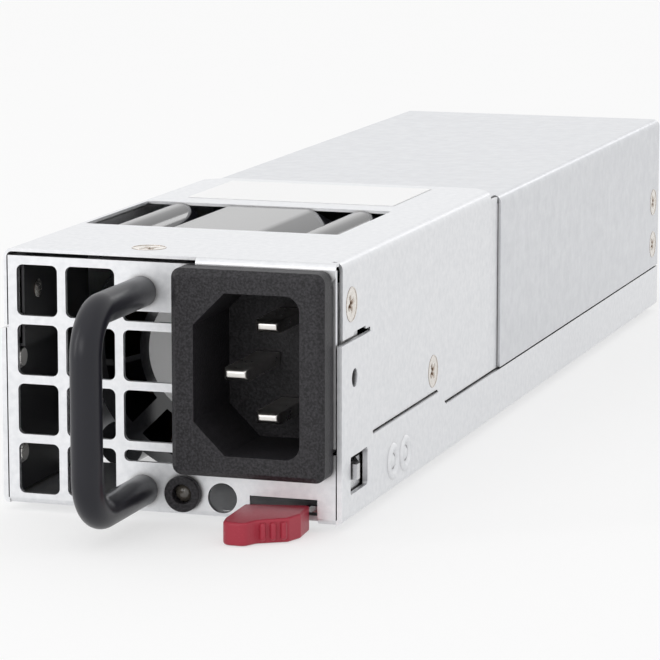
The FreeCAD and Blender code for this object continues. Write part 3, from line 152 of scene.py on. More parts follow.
def makeMouldGrain():
    # Spark-eroded mould texture: small pits with a few lighter specks.
    group = newGroup("mouldGrain", "ShaderNodeTree",
                     [("Pit Scale", "NodeSocketFloat", 3500.0), ("Speck Amount", "NodeSocketFloat", 0.3)],
                     [("Pits", "NodeSocketFloat"), ("Specks", "NodeSocketFloat")])
    inputs = addNode(group, "NodeGroupInput", -900, 0)
    outputs = addNode(group, "NodeGroupOutput", 400, 0)
    coords = addNode(group, "ShaderNodeTexCoord", -900, -220)
    pits = addNode(group, "ShaderNodeTexNoise", -600, 120)
    pits.inputs["Detail"].default_value = 4.0
    cells = addNode(group, "ShaderNodeTexVoronoi", -600, -200)
    for texture in (pits, cells):
        group.links.new(coords.outputs["Object"], texture.inputs["Vector"])
        group.links.new(inputs.outputs["Pit Scale"], texture.inputs["Scale"])
    near = mathNode(group, "SUBTRACT", -400, -200, 0.32, cells.outputs["Distance"], clamp=True)
    near = mathNode(group, "MULTIPLY", -220, -200, near, 4.0, clamp=True)
    specks = mathNode(group, "MULTIPLY", -40, -200, near, inputs.outputs["Speck Amount"], clamp=True)
    group.links.new(pits.outputs["Fac"], outputs.inputs["Pits"])
    group.links.new(specks, outputs.inputs["Specks"])
    return group


def makeCrevice():
    # Painted shade mixed with some dust: darker in recesses, seams and the gaps round the heads, where the ambient
    # occlusion closes in.
    group = newGroup("crevice", "ShaderNodeTree",
                     [("Reach", "NodeSocketFloat", 0.8 * mm), ("Strength", "NodeSocketFloat", 1.0)],
                     [("Mask", "NodeSocketFloat")])
    inputs = addNode(group, "NodeGroupInput", -700, 0)
    outputs = addNode(group, "NodeGroupOutput", 500, 0)
    occlusion = addNode(group, "ShaderNodeAmbientOcclusion", -450, 0, samples=6)
    group.links.new(inputs.outputs["Reach"], occlusion.inputs["Distance"])
    closed = mathNode(group, "SUBTRACT", -220, 0, 0.92, occlusion.outputs["AO"], clamp=True)
    closed = mathNode(group, "MULTIPLY", -60, 0, closed, 2.2, clamp=True)
    closed = mathNode(group, "MULTIPLY", 120, 0, closed, inputs.outputs["Strength"], clamp=True)
    group.links.new(closed, outputs.inputs["Mask"])
    return group


edgeWear = makeEdgeWear()
sheetGrain = makeSheetGrain()
mouldGrain = makeMouldGrain()
crevice = makeCrevice()
print("shader groups built")


def newMaterial(name, **constants):
    material = bpy.data.materials.new(name)
    material.use_nodes = True
    shader = material.node_tree.nodes["Principled BSDF"]
    for socketName, value in constants.items():
        shader.inputs[socketName.replace("_", " ")].default_value = value
    return material, material.node_tree, shader


def placeGroup(tree, group, x, y, **values):
    node = addNode(tree, "ShaderNodeGroup", x, y, node_tree=group)
    for socketName, value in values.items():
        node.inputs[socketName.replace("_", " ")].default_value = value
    return node


def addBump(tree, shader, height, strength, distance):
    bump = addNode(tree, "ShaderNodeBump", -220, -420)
    bump.inputs["Strength"].default_value = strength
    bump.inputs["Distance"].default_value = distance
    tree.links.new(height, bump.inputs["Height"])
    tree.links.new(bump.outputs["Normal"], shader.inputs["Normal"])


def rangeTo(tree, value, low, high, x, y):
    node = addNode(tree, "ShaderNodeMapRange", x, y)
    node.inputs["To Min"].default_value = low
    node.inputs["To Max"].default_value = high
    tree.links.new(value, node.inputs["Value"])
    return node.outputs[0]


def sheetMetal(name, dark, light, roughLow, roughHigh, lineDirection, wear=0.5, mottleScale=420.0, bump=0.06,
               dirtAndShade=(0.16, 0.14, 0.12), dirtAndShadeAmount=0.5, dirtAndShadeReach=0.8):
    material, tree, shader = newMaterial(name, Metallic=1.0)
    grain = placeGroup(tree, sheetGrain, -900, 0, Line_Direction=lineDirection, Mottle_Scale=mottleScale)
    edges = placeGroup(tree, edgeWear, -900, -300, Strength=wear)
    # Painted shade with some dirt: occluded recesses and seams are darkened to a brownish grey.
    shade = placeGroup(tree, crevice, -900, -480, Strength=dirtAndShadeAmount, Reach=dirtAndShadeReach * mm)
    base = mixColor(tree, -560, 120, grain.outputs["Mottle"], dark, light)
    bright = tuple(min(1.0, value * 1.12) for value in light)
    base = mixColor(tree, -340, 120, edges.outputs["Mask"], base, bright)
    base = mixColor(tree, -160, 120, shade.outputs["Mask"], base, dirtAndShade)
    tree.links.new(base, shader.inputs["Base Color"])
    spread = mathNode(tree, "ADD", -560, -120, grain.outputs["Mottle"], grain.outputs["Lines"])
    spread = mathNode(tree, "MULTIPLY", -430, -120, spread, 0.5)
    tree.links.new(rangeTo(tree, spread, roughLow, roughHigh, -300, -120), shader.inputs["Roughness"])
    addBump(tree, shader, grain.outputs["Height"], bump, 0.02 * mm)
    return material


def mouldedPlastic(name, color, speck, roughLow, roughHigh, pitScale=3500.0, speckAmount=0.3, bump=0.3,
                   bumpDepth=0.04, wear=0.25, mottle=0.0, **constants):
    material, tree, shader = newMaterial(name, **constants)
    grain = placeGroup(tree, mouldGrain, -900, 0, Pit_Scale=pitScale, Speck_Amount=speckAmount)
    edges = placeGroup(tree, edgeWear, -900, -300, Strength=wear, Radius=0.3 * mm)
    base = mixColor(tree, -560, 120, grain.outputs["Specks"], color, speck)
    if mottle:
        uneven = addNode(tree, "ShaderNodeMapRange", -700, 320)
        uneven.inputs["From Min"].default_value = 0.38
        uneven.inputs["From Max"].default_value = 0.66
        uneven.inputs["To Max"].default_value = mottle
        tree.links.new(grain.outputs["Pits"], uneven.inputs["Value"])
        base = mixColor(tree, -450, 260, uneven.outputs[0], base, speck)
    base = mixColor(tree, -340, 120, edges.outputs["Mask"], base, speck)
    tree.links.new(base, shader.inputs["Base Color"])
    tree.links.new(rangeTo(tree, grain.outputs["Pits"], roughLow, roughHigh, -300, -120), shader.inputs["Roughness"])
    addBump(tree, shader, grain.outputs["Pits"], bump, bumpDepth * mm)
    return material


materials = {
    "galvanisedSheet": sheetMetal("galvanisedSheet", (0.73, 0.74, 0.76), (0.83, 0.835, 0.85), 0.36, 0.50,
                                  (1.0, 0.03, 1.0), mottleScale=900.0, bump=0.10),
    "brushedCover": sheetMetal("brushedCover", (0.60, 0.61, 0.635), (0.71, 0.72, 0.74), 0.28, 0.42, (1.0, 0.02, 1.0),
                               mottleScale=420.0, bump=0.08),
    # The screws carry strong painted shade, with some dirt, in the cross recess and the gap round the head.
    "zincScrew": sheetMetal("zincScrew", (0.66, 0.62, 0.57), (0.84, 0.81, 0.77), 0.20, 0.32, (1.0, 1.0, 1.0),
                            mottleScale=1500.0, dirtAndShade=(0.20, 0.12, 0.07), dirtAndShadeAmount=1.0, dirtAndShadeReach=1.1),
    "springSteel": sheetMetal("springSteel", (0.50, 0.50, 0.51), (0.64, 0.64, 0.65), 0.20, 0.32, (0.05, 1.0, 1.0)),
    "nickelBlade": sheetMetal("nickelBlade", (0.70, 0.68, 0.65), (0.86, 0.84, 0.81), 0.24, 0.36, (1.0, 0.02, 1.0)),
    "goldContact": sheetMetal("goldContact", (0.75, 0.52, 0.20), (0.90, 0.68, 0.32), 0.20, 0.30, (1.0, 0.02, 1.0)),
    "copperWire": sheetMetal("copperWire", (0.52, 0.22, 0.10), (0.74, 0.38, 0.20), 0.28, 0.40, (1.0, 1.0, 0.05)),
    "bareAluminium": sheetMetal("bareAluminium", (0.60, 0.60, 0.61), (0.72, 0.72, 0.73), 0.30, 0.42,
                                (1.0, 0.03, 1.0)),
    "satinHandle": mouldedPlastic("satinHandle", (0.010, 0.010, 0.015), (0.022, 0.022, 0.030), 0.26, 0.36,
                                  pitScale=2200.0, speckAmount=0.1, bump=0.10, bumpDepth=0.02,
                                  Specular_IOR_Level=0.36),
    "inletMoulding": mouldedPlastic("inletMoulding", (0.007, 0.0065, 0.008), (0.085, 0.080, 0.090), 0.40, 0.58,
                                    pitScale=2600.0, speckAmount=0.25, bump=1.0, bumpDepth=0.10, mottle=0.34,
                                    Specular_IOR_Level=0.34),
    "glossyFan": mouldedPlastic("glossyFan", (0.008, 0.008, 0.011), (0.03, 0.03, 0.036), 0.07, 0.14,
                                speckAmount=0.05, bump=0.05, Specular_IOR_Level=0.95),
    "redThumb": mouldedPlastic("redThumb", (0.370, 0.026, 0.048), (0.52, 0.068, 0.10), 0.32, 0.44,
                               pitScale=1800.0, speckAmount=0.2, bump=0.12, wear=0.5, Specular_IOR_Level=0.4),
    "whiteLabel": mouldedPlastic("whiteLabel", (0.93, 0.93, 0.93), (0.96, 0.96, 0.96), 0.42, 0.55,
                                 pitScale=1500.0, bump=0.05),
    "greenLine": mouldedPlastic("greenLine", (0.06, 0.34, 0.20), (0.10, 0.42, 0.26), 0.42, 0.55),
    "smokedLens": mouldedPlastic("smokedLens", (0.085, 0.075, 0.062), (0.16, 0.145, 0.12), 0.08, 0.16,
                                 speckAmount=0.5, bump=0.05, Specular_IOR_Level=0.8),
    "greenBoard": mouldedPlastic("greenBoard", (0.015, 0.13, 0.055), (0.03, 0.22, 0.09), 0.22, 0.36,
                                 pitScale=700.0, bump=0.1),
    "darkFerrite": mouldedPlastic("darkFerrite", (0.035, 0.035, 0.037), (0.08, 0.08, 0.08), 0.5, 0.7),
    "yellowFilm": mouldedPlastic("yellowFilm", (0.62, 0.42, 0.03), (0.75, 0.56, 0.12), 0.3, 0.42),
    "blueLacquer": mouldedPlastic("blueLacquer", (0.02, 0.10, 0.32), (0.05, 0.18, 0.42), 0.25, 0.36),
    "whiteCeramic": mouldedPlastic("whiteCeramic", (0.74, 0.73, 0.70), (0.82, 0.81, 0.78), 0.4, 0.5),
    "blackSleeve": mouldedPlastic("blackSleeve", (0.02, 0.02, 0.024), (0.05, 0.05, 0.055), 0.24, 0.34, bump=0.1),
    "blackFilm": mouldedPlastic("blackFilm", (0.016, 0.016, 0.018), (0.035, 0.035, 0.038), 0.30, 0.44, bump=0.15),
}
print("materials built,", len(materials))

finishes = {
    "galvanisedSheet": ["chassis_tray", "front_cover", "latch_rivets"],
    "brushedCover": ["rear_cover"],
    "zincScrew": ["cover_screws", "handle_screws", "fan_screws", "board_screws"],
    "springSteel": ["latch_spring_root", "latch_spring_arm", "fan_shaft", "fan_bearings"],
    "nickelBlade": ["inlet_line_pin", "inlet_neutral_pin", "inlet_earth_pin", "liner_rivets", "board_spacers"],
    "goldContact": ["edge_contacts"],
    "copperWire": ["filter_choke_windings", "boost_choke_winding", "output_choke", "fan_stator"],
    "bareAluminium": ["primary_heatsink", "secondary_heatsink"],
    "satinHandle": ["pull_handle"],
    "inletMoulding": ["inlet_housing", "led_holder", "relay", "bridge_rectifier", "primary_transistors",
                      "secondary_transistors"],
    "smokedLens": ["status_led"],
    "glossyFan": ["fan_frame", "fan_rotor"],
    "redThumb": ["latch_tab"],
    "whiteLabel": ["blank_label", "fan_sticker"],
    "greenBoard": ["main_board", "control_board"],
    "darkFerrite": ["filter_choke_cores", "boost_choke_core", "transformer_core", "standby_transformer",
                    "fan_magnet"],
    "yellowFilm": ["x_capacitors", "transformer_winding"],
    "blueLacquer": ["y_capacitors", "varistor"],
    "whiteCeramic": ["fuse"],
    "blackSleeve": ["bulk_capacitor", "output_capacitors"],
    "blackFilm": ["side_liner", "board_insulator"],
}
for finish, names in finishes.items():
    for name in names:
        nodes[name].data.materials.clear()
        nodes[name].data.materials.append(materials[finish])
print("CAD nodes painted,", sum(len(names) for names in finishes.values()))


def addObject(name, data):
    added = bpy.data.objects.new(name, data)
    bpy.context.scene.collection.objects.link(added)
    return added


def placePiece(name, mesh, finish, body, *replaced):
    piece = addObject(name, mesh)
    mesh.materials.clear()
    mesh.materials.append(materials[finish])
    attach(piece, body)
    if replaced:
        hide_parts(*replaced)
    return piece


def flattenNormals(piece):
    # The large faces set the normals, so flats stay flat beside soft edges.
    flats = piece.modifiers.new("flatNormals", "WEIGHTED_NORMAL")
    flats.mode = "FACE_AREA"
    flats.weight = 100


def finishMesh(name, work):
    bmesh.ops.recalc_face_normals(work, faces=work.faces)
    for face in work.faces:
        face.smooth = True
    mesh = bpy.data.meshes.new(name)
    work.to_mesh(mesh)
    work.free()
    return mesh


refining = {"weld": 0.001, "flatAngle": 0.4, "edgeAngle": 40.0}


def refine(node, spec):
    # A copy of the solid's mesh with its flats joined up and its corners softened.
    mesh = nodes[node].data.copy()
    work = bmesh.new()
    work.from_mesh(mesh)
    bmesh.ops.remove_doubles(work, verts=work.verts, dist=refining["weld"] * mm)
    bmesh.ops.dissolve_limit(work, angle_limit=math.radians(refining["flatAngle"]), verts=work.verts,
                             edges=work.edges)
    for face in work.faces:
        face.smooth = True
    work.to_mesh(mesh)
    work.free()
    piece = placePiece(spec["piece"], mesh, spec["finish"], "case", node)
    bevel = piece.modifiers.new("softEdges", "BEVEL")
    bevel.width = spec["width"] * mm
    bevel.segments = spec["segments"]
    bevel.limit_method = "ANGLE"
    bevel.angle_limit = math.radians(refining["edgeAngle"])
    flattenNormals(piece)
    print("refined", node, len(mesh.polygons), "faces")


refined = {
    "chassis_tray": {"piece": "trayShell", "finish": "galvanisedSheet", "width": 0.10, "segments": 2},
    "front_cover": {"piece": "frontCoverShell", "finish": "galvanisedSheet", "width": 0.12, "segments": 2},
    "rear_cover": {"piece": "rearCoverShell", "finish": "brushedCover", "width": 0.24, "segments": 2},
    "inlet_housing": {"piece": "inletBody", "finish": "inletMoulding", "width": 0.40, "segments": 3},
    "inlet_line_pin": {"piece": "lineBlade", "finish": "nickelBlade", "width": 0.35, "segments": 3},
    "inlet_neutral_pin": {"piece": "neutralBlade", "finish": "nickelBlade", "width": 0.35, "segments": 3},
    "inlet_earth_pin": {"piece": "earthBlade", "finish": "nickelBlade", "width": 0.35, "segments": 3},
    "led_holder": {"piece": "ledBezel", "finish": "inletMoulding", "width": 0.25, "segments": 3},
    "status_led": {"piece": "ledLens", "finish": "smokedLens", "width": 0.10, "segments": 2},
    "fan_frame": {"piece": "fanShroud", "finish": "glossyFan", "width": 0.20, "segments": 2},
    "latch_spring_root": {"piece": "springRoot", "finish": "springSteel", "width": 0.08, "segments": 2},
    "blank_label": {"piece": "labelSheet", "finish": "whiteLabel", "width": 0.04, "segments": 2},
}
for node, spec in refined.items():
    refine(node, spec)

thumbTab = {
    "piece": "thumbTab",
    "finish": "redThumb",
    "outline": [(12.6, -109.6, 0.4), (22.4, -107.7, 0.4), (22.75, -113.0, 0.8), (21.8, -115.9, 0.7),
                (17.7, -118.4, 1.5), (16.5, -120.75, 1.4), (12.95, -120.75, 1.5), (12.45, -117.8, 1.0)],
    "low": -1.1,
    "high": 2.9,
    "noseDrop": 0.45,
    "ribFrom": (21.6, -116.02),
    "ribTo": (17.9, -118.3),
    "ribCount": 3,
    "ribRadius": 0.50,
    "ribProud": 0.10,
    "ribSpread": 0.37,
    "ribFoot": 0.45,
    "ribHead": 0.75,
    "ribRows": 6,
    "ribSides": 20,
    "edgeWidth": 0.42,
    "edgeSegments": 5,
    "sharpFrom": 0.9,
}


def roundCorner(before, corner, after, radius, steps=7):
    # Points of the arc that rounds a corner between two straight runs.
    inward = (Vector(before) - Vector(corner)).normalized()
    outward = (Vector(after) - Vector(corner)).normalized()
    half = inward.angle(outward) / 2
    reach = radius / math.tan(half)
    centre = Vector(corner) + (inward + outward).normalized() * radius / math.sin(half)
    start = Vector(corner) + inward * reach - centre
    end = Vector(corner) + outward * reach - centre
    return [centre + start.slerp(end, step / steps).normalized() * radius for step in range(steps + 1)]


def lathe(work, profile, place, steps):
    # Turns a profile in millimetres about the upright through a place.
    rings = []
    for radius, height in profile:
        angles = [2 * math.pi * step / steps for step in range(steps if radius else 1)]
        rings.append([work.verts.new(Vector(place) + Vector((radius * mm * math.cos(angle),
                                                             radius * mm * math.sin(angle), height * mm)))
                      for angle in angles])
    for lower, upper in zip(rings, rings[1:]):
        for step in range(steps):
            corners = [lower[step % len(lower)], lower[(step + 1) % steps % len(lower)],
                       upper[(step + 1) % steps % len(upper)], upper[step % len(upper)]]
            work.faces.new(list(dict.fromkeys(corners)))


def extrude(work, face, shift):
    grown = bmesh.ops.extrude_face_region(work, geom=[face])["geom"]
    bmesh.ops.translate(work, verts=[part for part in grown if isinstance(part, bmesh.types.BMVert)],
                        vec=Vector(shift))


def tabRib(spec):
    # Profile of one upright rib with round ends.
    low, high = spec["low"] + spec["ribFoot"], spec["high"] - spec["ribHead"]
    radius, rows = spec["ribRadius"], spec["ribRows"]
    turns = [turn * math.pi / (2 * rows) for turn in range(rows + 1)]
    foot = [(radius * math.sin(turn), low + radius * (1 - math.cos(turn))) for turn in turns[1:]]
    head = [(radius * math.cos(turn), high - radius * (1 - math.sin(turn))) for turn in turns[:-1]]
    return [(0, low), *foot, *head, (0, high)]


def makeThumbTab():
    spec = thumbTab
    points = spec["outline"]
    rim = []
    for index, (x, y, radius) in enumerate(points):
        before, after = points[index - 1], points[(index + 1) % len(points)]
        rim += roundCorner(before[:2], (x, y), after[:2], radius)
    work = bmesh.new()
    base = work.faces.new([work.verts.new((point.x * mm, point.y * mm, spec["low"] * mm)) for point in rim])
    extrude(work, base, (0, 0, (spec["high"] - spec["low"]) * mm))
    back = max(point.y for point in rim) * mm
    span = back - min(point.y for point in rim) * mm
    for vert in work.verts:
        if vert.co.z > 0:
            vert.co.z -= spec["noseDrop"] * mm * (back - vert.co.y) / span
    sharp = [edge for edge in work.edges
             if len(edge.link_faces) == 2 and edge.calc_face_angle() > spec["sharpFrom"]]
    bmesh.ops.bevel(work, geom=sharp, offset=spec["edgeWidth"] * mm, segments=spec["edgeSegments"], profile=0.5,
                    affect="EDGES")
    first, last = Vector(spec["ribFrom"]), Vector(spec["ribTo"])
    along = (last - first).normalized()
    outward = Vector((-along.y, along.x)) * spec["ribProud"]
    for index in range(spec["ribCount"]):
        share = 0.5 + spec["ribSpread"] * (index - (spec["ribCount"] - 1) / 2)
        place = first.lerp(last, share) + outward
        lathe(work, tabRib(spec), (place.x * mm, place.y * mm, 0), spec["ribSides"])
    mesh = finishMesh(spec["piece"], work)
    flattenNormals(placePiece(spec["piece"], mesh, spec["finish"], "latch", "latch_tab"))
    print("thumb tab built,", len(mesh.polygons), "faces")


makeThumbTab()

handle = {
    "piece": "handleRod",
    "finish": "satinHandle",
    "radius": 2.4,
    "bend": 6.5,
    "sides": 48,
    "bendSteps": 24,
    "sharpAngle": 50.0,
}


def makeHandle():
    # One round rod bent twice, swept in the upright plane through its middle.
    low, high = (Vector(corner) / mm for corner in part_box("pull_handle"))
    radius = handle["radius"]
    front, bottom, top = low.y + radius, low.z + radius, high.z - radius
    corners = [(high.y, top), (front, top), (front, bottom), (high.y, bottom)]
    path = [Vector(corners[0])]
    for before, corner, after in zip(corners, corners[1:], corners[2:]):
        path += roundCorner(before, corner, after, handle["bend"], handle["bendSteps"])
    path.append(Vector(corners[-1]))
    middle = (low.x + high.x) / 2
    work = bmesh.new()
    rings = []
    for index, point in enumerate(path):
        along = (path[min(index + 1, len(path) - 1)] - path[max(index - 1, 0)]).normalized()
        across = Vector((-along.y, along.x))
        ring = []
        for side in range(handle["sides"]):
            angle = 2 * math.pi * side / handle["sides"]
            offset = across * radius * math.sin(angle)
            ring.append(work.verts.new(Vector((middle + radius * math.cos(angle), point.x + offset.x,
                                               point.y + offset.y)) * mm))
        rings.append(ring)
    for lower, upper in zip(rings, rings[1:]):
        for side in range(handle["sides"]):
            after = (side + 1) % handle["sides"]
            work.faces.new((lower[side], lower[after], upper[after], upper[side]))
    work.faces.new(rings[0])
    work.faces.new(rings[-1])
    mesh = finishMesh(handle["piece"], work)
    mesh.set_sharp_from_angle(angle=math.radians(handle["sharpAngle"]))
    placePiece(handle["piece"], mesh, handle["finish"], "case", "pull_handle")
    print("handle built,", len(mesh.polygons), "faces")


makeHandle()

coverScrews = {
    "piece": "screwHeads",
    "replaces": "cover_screws",
    "finish": "zincScrew",
    "seats": [((-5.75, -101.05, 40.0), (0, 0, 1)), ((27.05, -101.5, 32.9), (1, 0, 0)),
              ((-27.05, -101.5, 32.9), (-1, 0, 0)), ((27.05, -57.3, 14.85), (1, 0, 0)),
              ((-27.05, -57.3, 14.85), (-1, 0, 0)), ((27.6, 103.2, 13.4), (1, 0, 0)),
              ((27.6, 103.2, 22.2), (1, 0, 0)), ((-27.6, 103.2, 13.4), (-1, 0, 0)),
              ((-27.6, 103.2, 22.2), (-1, 0, 0))],
    "radius": 2.66,
    "rim": 0.07,
    "rings": 30,
    "steps": 72,
    "seed": 4,
    "dish": 0.05,
    "crossHalf": 0.40,
    "crossReach": 1.55,
    "crossDepth": 0.75,
    "crossSlope": 0.22,
    "crossStart": 0.3,
    "faceDepth": 0.1,
    "shank": [(1.45, -1.3), (1.45, -3.0), (0, -3.2)],
}

latchRivets = {
    "piece": "rivetDishes",
    "replaces": "latch_rivets",
    "finish": "galvanisedSheet",
    "seats": [((27.6, -81.7, 4.8), (1, 0, 0)), ((27.6, -75.0, 4.8), (1, 0, 0))],
    "radius": 2.9,
    "rim": 0.05,
    "steps": 64,
    "seed": 2,
    "profile": [(0, 0.20), (0.75, 0.18), (1.0, 0.0), (1.25, -0.14), (1.55, 0.0), (1.9, 0.32), (2.25, 0.42),
                (2.6, 0.32), (2.85, 0.10), (2.95, -0.1), (2.6, -0.3), (0, -0.3)],
}


def crossHeight(x, y):
    # Shallow dish with a cross recess that narrows as it goes down.
    distance = math.hypot(x, y) / coverScrews["radius"]
    deepest = 0
    for along, across in ((x, y), (y, x)):
        end = min(1, max(0, (coverScrews["crossReach"] - abs(along)) / (2 * coverScrews["crossSlope"])))
        flank = min(1, max(0, (coverScrews["crossHalf"] - abs(across)) / coverScrews["crossSlope"]
                           + coverScrews["crossStart"]))
        deepest = max(deepest, end * flank)
    return -coverScrews["dish"] * (1 - distance ** 4) - coverScrews["crossDepth"] * deepest


def screwHead(work):
    count = coverScrews["rings"]
    profile = [(coverScrews["radius"] * ring / count, 0) for ring in range(count + 1)] + coverScrews["shank"]
    lathe(work, profile, (0, 0, 0), coverScrews["steps"])
    for vert in work.verts:
        if vert.co.z > -coverScrews["faceDepth"] * mm:
            vert.co.z = crossHeight(vert.co.x / mm, vert.co.y / mm) * mm


def rivetHead(work):
    lathe(work, latchRivets["profile"], (0, 0, 0), latchRivets["steps"])


def makeHeadScatter():
    # One head with its rolled rim on every seat, turned to the face it sits in and spun at random.
    group = newGroup("headScatter", "GeometryNodeTree",
                     [("Geometry", "NodeSocketGeometry", None), ("Head", "NodeSocketObject", None),
                      ("Rim Seat", "NodeSocketFloat", 2.5 * mm), ("Rim Radius", "NodeSocketFloat", 0.1 * mm),
                      ("Steps", "NodeSocketInt", 48), ("Seed", "NodeSocketInt", 0),
                      ("Finish", "NodeSocketMaterial", None)],
                     [("Geometry", "NodeSocketGeometry")])
    inputs = addNode(group, "NodeGroupInput", -1200, 0)
    outputs = addNode(group, "NodeGroupOutput", 800, 0)
    path = addNode(group, "GeometryNodeCurvePrimitiveCircle", -960, 240)
    section = addNode(group, "GeometryNodeCurvePrimitiveCircle", -960, 60)
    section.inputs["Resolution"].default_value = 12
    sweep = addNode(group, "GeometryNodeCurveToMesh", -740, 180)
    head = addNode(group, "GeometryNodeObjectInfo", -960, -120, transform_space="ORIGINAL")
    join = addNode(group, "GeometryNodeJoinGeometry", -500, 80)
    seat = addNode(group, "GeometryNodeInputNamedAttribute", -960, -360, data_type="FLOAT_VECTOR")
    seat.inputs["Name"].default_value = "seat"
    align = addNode(group, "FunctionNodeAlignRotationToVector", -740, -340, axis="Z")
    chance = addNode(group, "FunctionNodeRandomValue", -960, -560, data_type="FLOAT")
    # Input 3 and output 1 are the largest value and the result of a float draw.
    chance.inputs[3].default_value = math.pi
    spin = addNode(group, "FunctionNodeAxisAngleToRotation", -740, -560)
    turn = addNode(group, "FunctionNodeRotateRotation", -500, -400, rotation_space="LOCAL")
    scatter = addNode(group, "GeometryNodeInstanceOnPoints", -240, 60)
    realize = addNode(group, "GeometryNodeRealizeInstances", 0, 60)
    smooth = addNode(group, "GeometryNodeSetShadeSmooth", 220, 60)
    paint = addNode(group, "GeometryNodeSetMaterial", 460, 60)
    link = group.links.new
    link(inputs.outputs["Steps"], path.inputs["Resolution"])
    link(inputs.outputs["Rim Seat"], path.inputs["Radius"])
    link(inputs.outputs["Rim Radius"], section.inputs["Radius"])
    link(path.outputs["Curve"], sweep.inputs["Curve"])
    link(section.outputs["Curve"], sweep.inputs["Profile Curve"])
    link(inputs.outputs["Head"], head.inputs["Object"])
    link(sweep.outputs["Mesh"], join.inputs["Geometry"])
    link(head.outputs["Geometry"], join.inputs["Geometry"])
    link(seat.outputs["Attribute"], align.inputs["Vector"])
    link(inputs.outputs["Seed"], chance.inputs["Seed"])
    link(chance.outputs[1], spin.inputs["Angle"])
    link(align.outputs["Rotation"], turn.inputs["Rotation"])
    link(spin.outputs["Rotation"], turn.inputs["Rotate By"])
    link(inputs.outputs["Geometry"], scatter.inputs["Points"])
    link(join.outputs["Geometry"], scatter.inputs["Instance"])
    link(turn.outputs["Rotation"], scatter.inputs["Rotation"])
    link(scatter.outputs["Instances"], realize.inputs["Geometry"])
    link(realize.outputs["Geometry"], smooth.inputs["Geometry"])
    link(smooth.outputs["Geometry"], paint.inputs["Geometry"])
    link(inputs.outputs["Finish"], paint.inputs["Material"])
    link(paint.outputs["Geometry"], outputs.inputs["Geometry"])
    return group


scattering = {"rimInset": 0.04, "sharpAngle": 60.0}


def scatterHeads(group, spec, shapeHead):
    work = bmesh.new()
    shapeHead(work)
    single = addObject("singleHead", finishMesh("singleHead", work))
    single.data.set_sharp_from_angle(angle=math.radians(scattering["sharpAngle"]))
    seats = bpy.data.meshes.new("headSeats")
    seats.from_pydata([[value * mm for value in place] for place, axis in spec["seats"]], [], [])
    attribute = seats.attributes.new("seat", "FLOAT_VECTOR", "POINT")
    for index, (place, axis) in enumerate(spec["seats"]):
        attribute.data[index].vector = axis
    carrier = addObject("headSeats", seats)
    modifier = carrier.modifiers.new("heads", "NODES")
    modifier.node_group = group
    values = {"Head": single, "Rim Seat": (spec["radius"] - scattering["rimInset"]) * mm,
              "Rim Radius": spec["rim"] * mm, "Steps": spec["steps"], "Seed": spec["seed"],
              "Finish": materials[spec["finish"]]}
    for item in group.interface.items_tree:
        if item.in_out == "INPUT" and item.name in values:
            modifier[item.identifier] = values[item.name]
    mesh = bpy.data.meshes.new_from_object(carrier.evaluated_get(bpy.context.evaluated_depsgraph_get()))
    for helper in (carrier, single):
        bpy.data.objects.remove(helper)
    mesh.name = spec["piece"]
    placePiece(spec["piece"], mesh, spec["finish"], "case", spec["replaces"])
    print(spec["piece"], "scattered,", len(mesh.polygons), "faces")


headScatter = makeHeadScatter()
scatterHeads(headScatter, coverScrews, screwHead)
scatterHeads(headScatter, latchRivets, rivetHead)

stickerLine = {
    "piece": "stickerLine",
    "finish": "greenLine",
    "share": 0.9,
    "height": 0.55,
    "proud": 0.05,
    "rise": 4.2,
    "edgeWidth": 0.015,
    "edgeSegments": 2,
}


def makeStickerLine():
    # A thin bar across the sticker, shorter than the chord at its height.
    low, high = (Vector(corner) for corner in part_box("fan_sticker"))
    centre = (low + high) / 2
    front = low.y - stickerLine["proud"] * mm
    chord = math.sqrt(((high.x - low.x) / 2) ** 2 - (stickerLine["rise"] * mm) ** 2)
    halfWidth, halfHeight = chord * stickerLine["share"], stickerLine["height"] * mm / 2
    rise = centre.z + stickerLine["rise"] * mm
    work = bmesh.new()
    corners = [(centre.x + x * halfWidth, front, rise + z * halfHeight)
               for x, z in ((-1, -1), (1, -1), (1, 1), (-1, 1))]
    face = work.faces.new([work.verts.new(corner) for corner in corners])
    extrude(work, face, (0, stickerLine["proud"] * mm, 0))
    bmesh.ops.bevel(work, geom=list(work.edges), offset=stickerLine["edgeWidth"] * mm,
                    segments=stickerLine["edgeSegments"], affect="EDGES")
    mesh = finishMesh(stickerLine["piece"], work)
    placePiece(stickerLine["piece"], mesh, stickerLine["finish"], "case")


makeStickerLine()
print("sticker line built")

studio = {
    "floorBelow": 1.2 * mm,
    "floorSize": 6.0,
    "floorShown": 0.55,
    "floorDark": (0.955, 0.955, 0.955),
    "floorLight": (0.965, 0.965, 0.965),
    "floorRoughness": 0.9,
    "floorNoise": 30.0,
    "worldStrength": 0.84,
    "sunDirection": (0.15, 0.35, -1.0),
    "sunSpread": 70.0,
    "sunStrength": 0.16,
    "lens": 188.6,
    "sensor": 36.0,
    "clipStart": 0.01,
    "cameraPlace": (182.6 * mm, -592.3 * mm, 117.9 * mm),
    "azimuth": 17.95,
    "elevation": 9.80,
}

# Name, place, target, size and power of each lamp.
lamps = [
    ("ridgeLamp", (0.55, 2.6, 1.05), (0, 0, 0.02), (0.5, 0.4), 1.2),
    ("frontLamp", (-0.35, -1.3, 0.45), (0, -0.1, 0.02), (0.7, 0.5), 2.2),
    ("leftStrip", (-0.75, -0.55, 0.25), (0, -0.12, 0.02), (0.12, 0.7), 1.2),
    ("backLamp", (-0.80, 2.6, 0.62), (0, 0, 0.04), (1.3, 0.5), 0.4),
]


def addHolder(name, data, direction, place=(0, 0, 0)):
    holder = addObject(name, data)
    holder.location = place
    holder.rotation_euler = direction.to_track_quat("-Z", "Y").to_euler()
    return holder


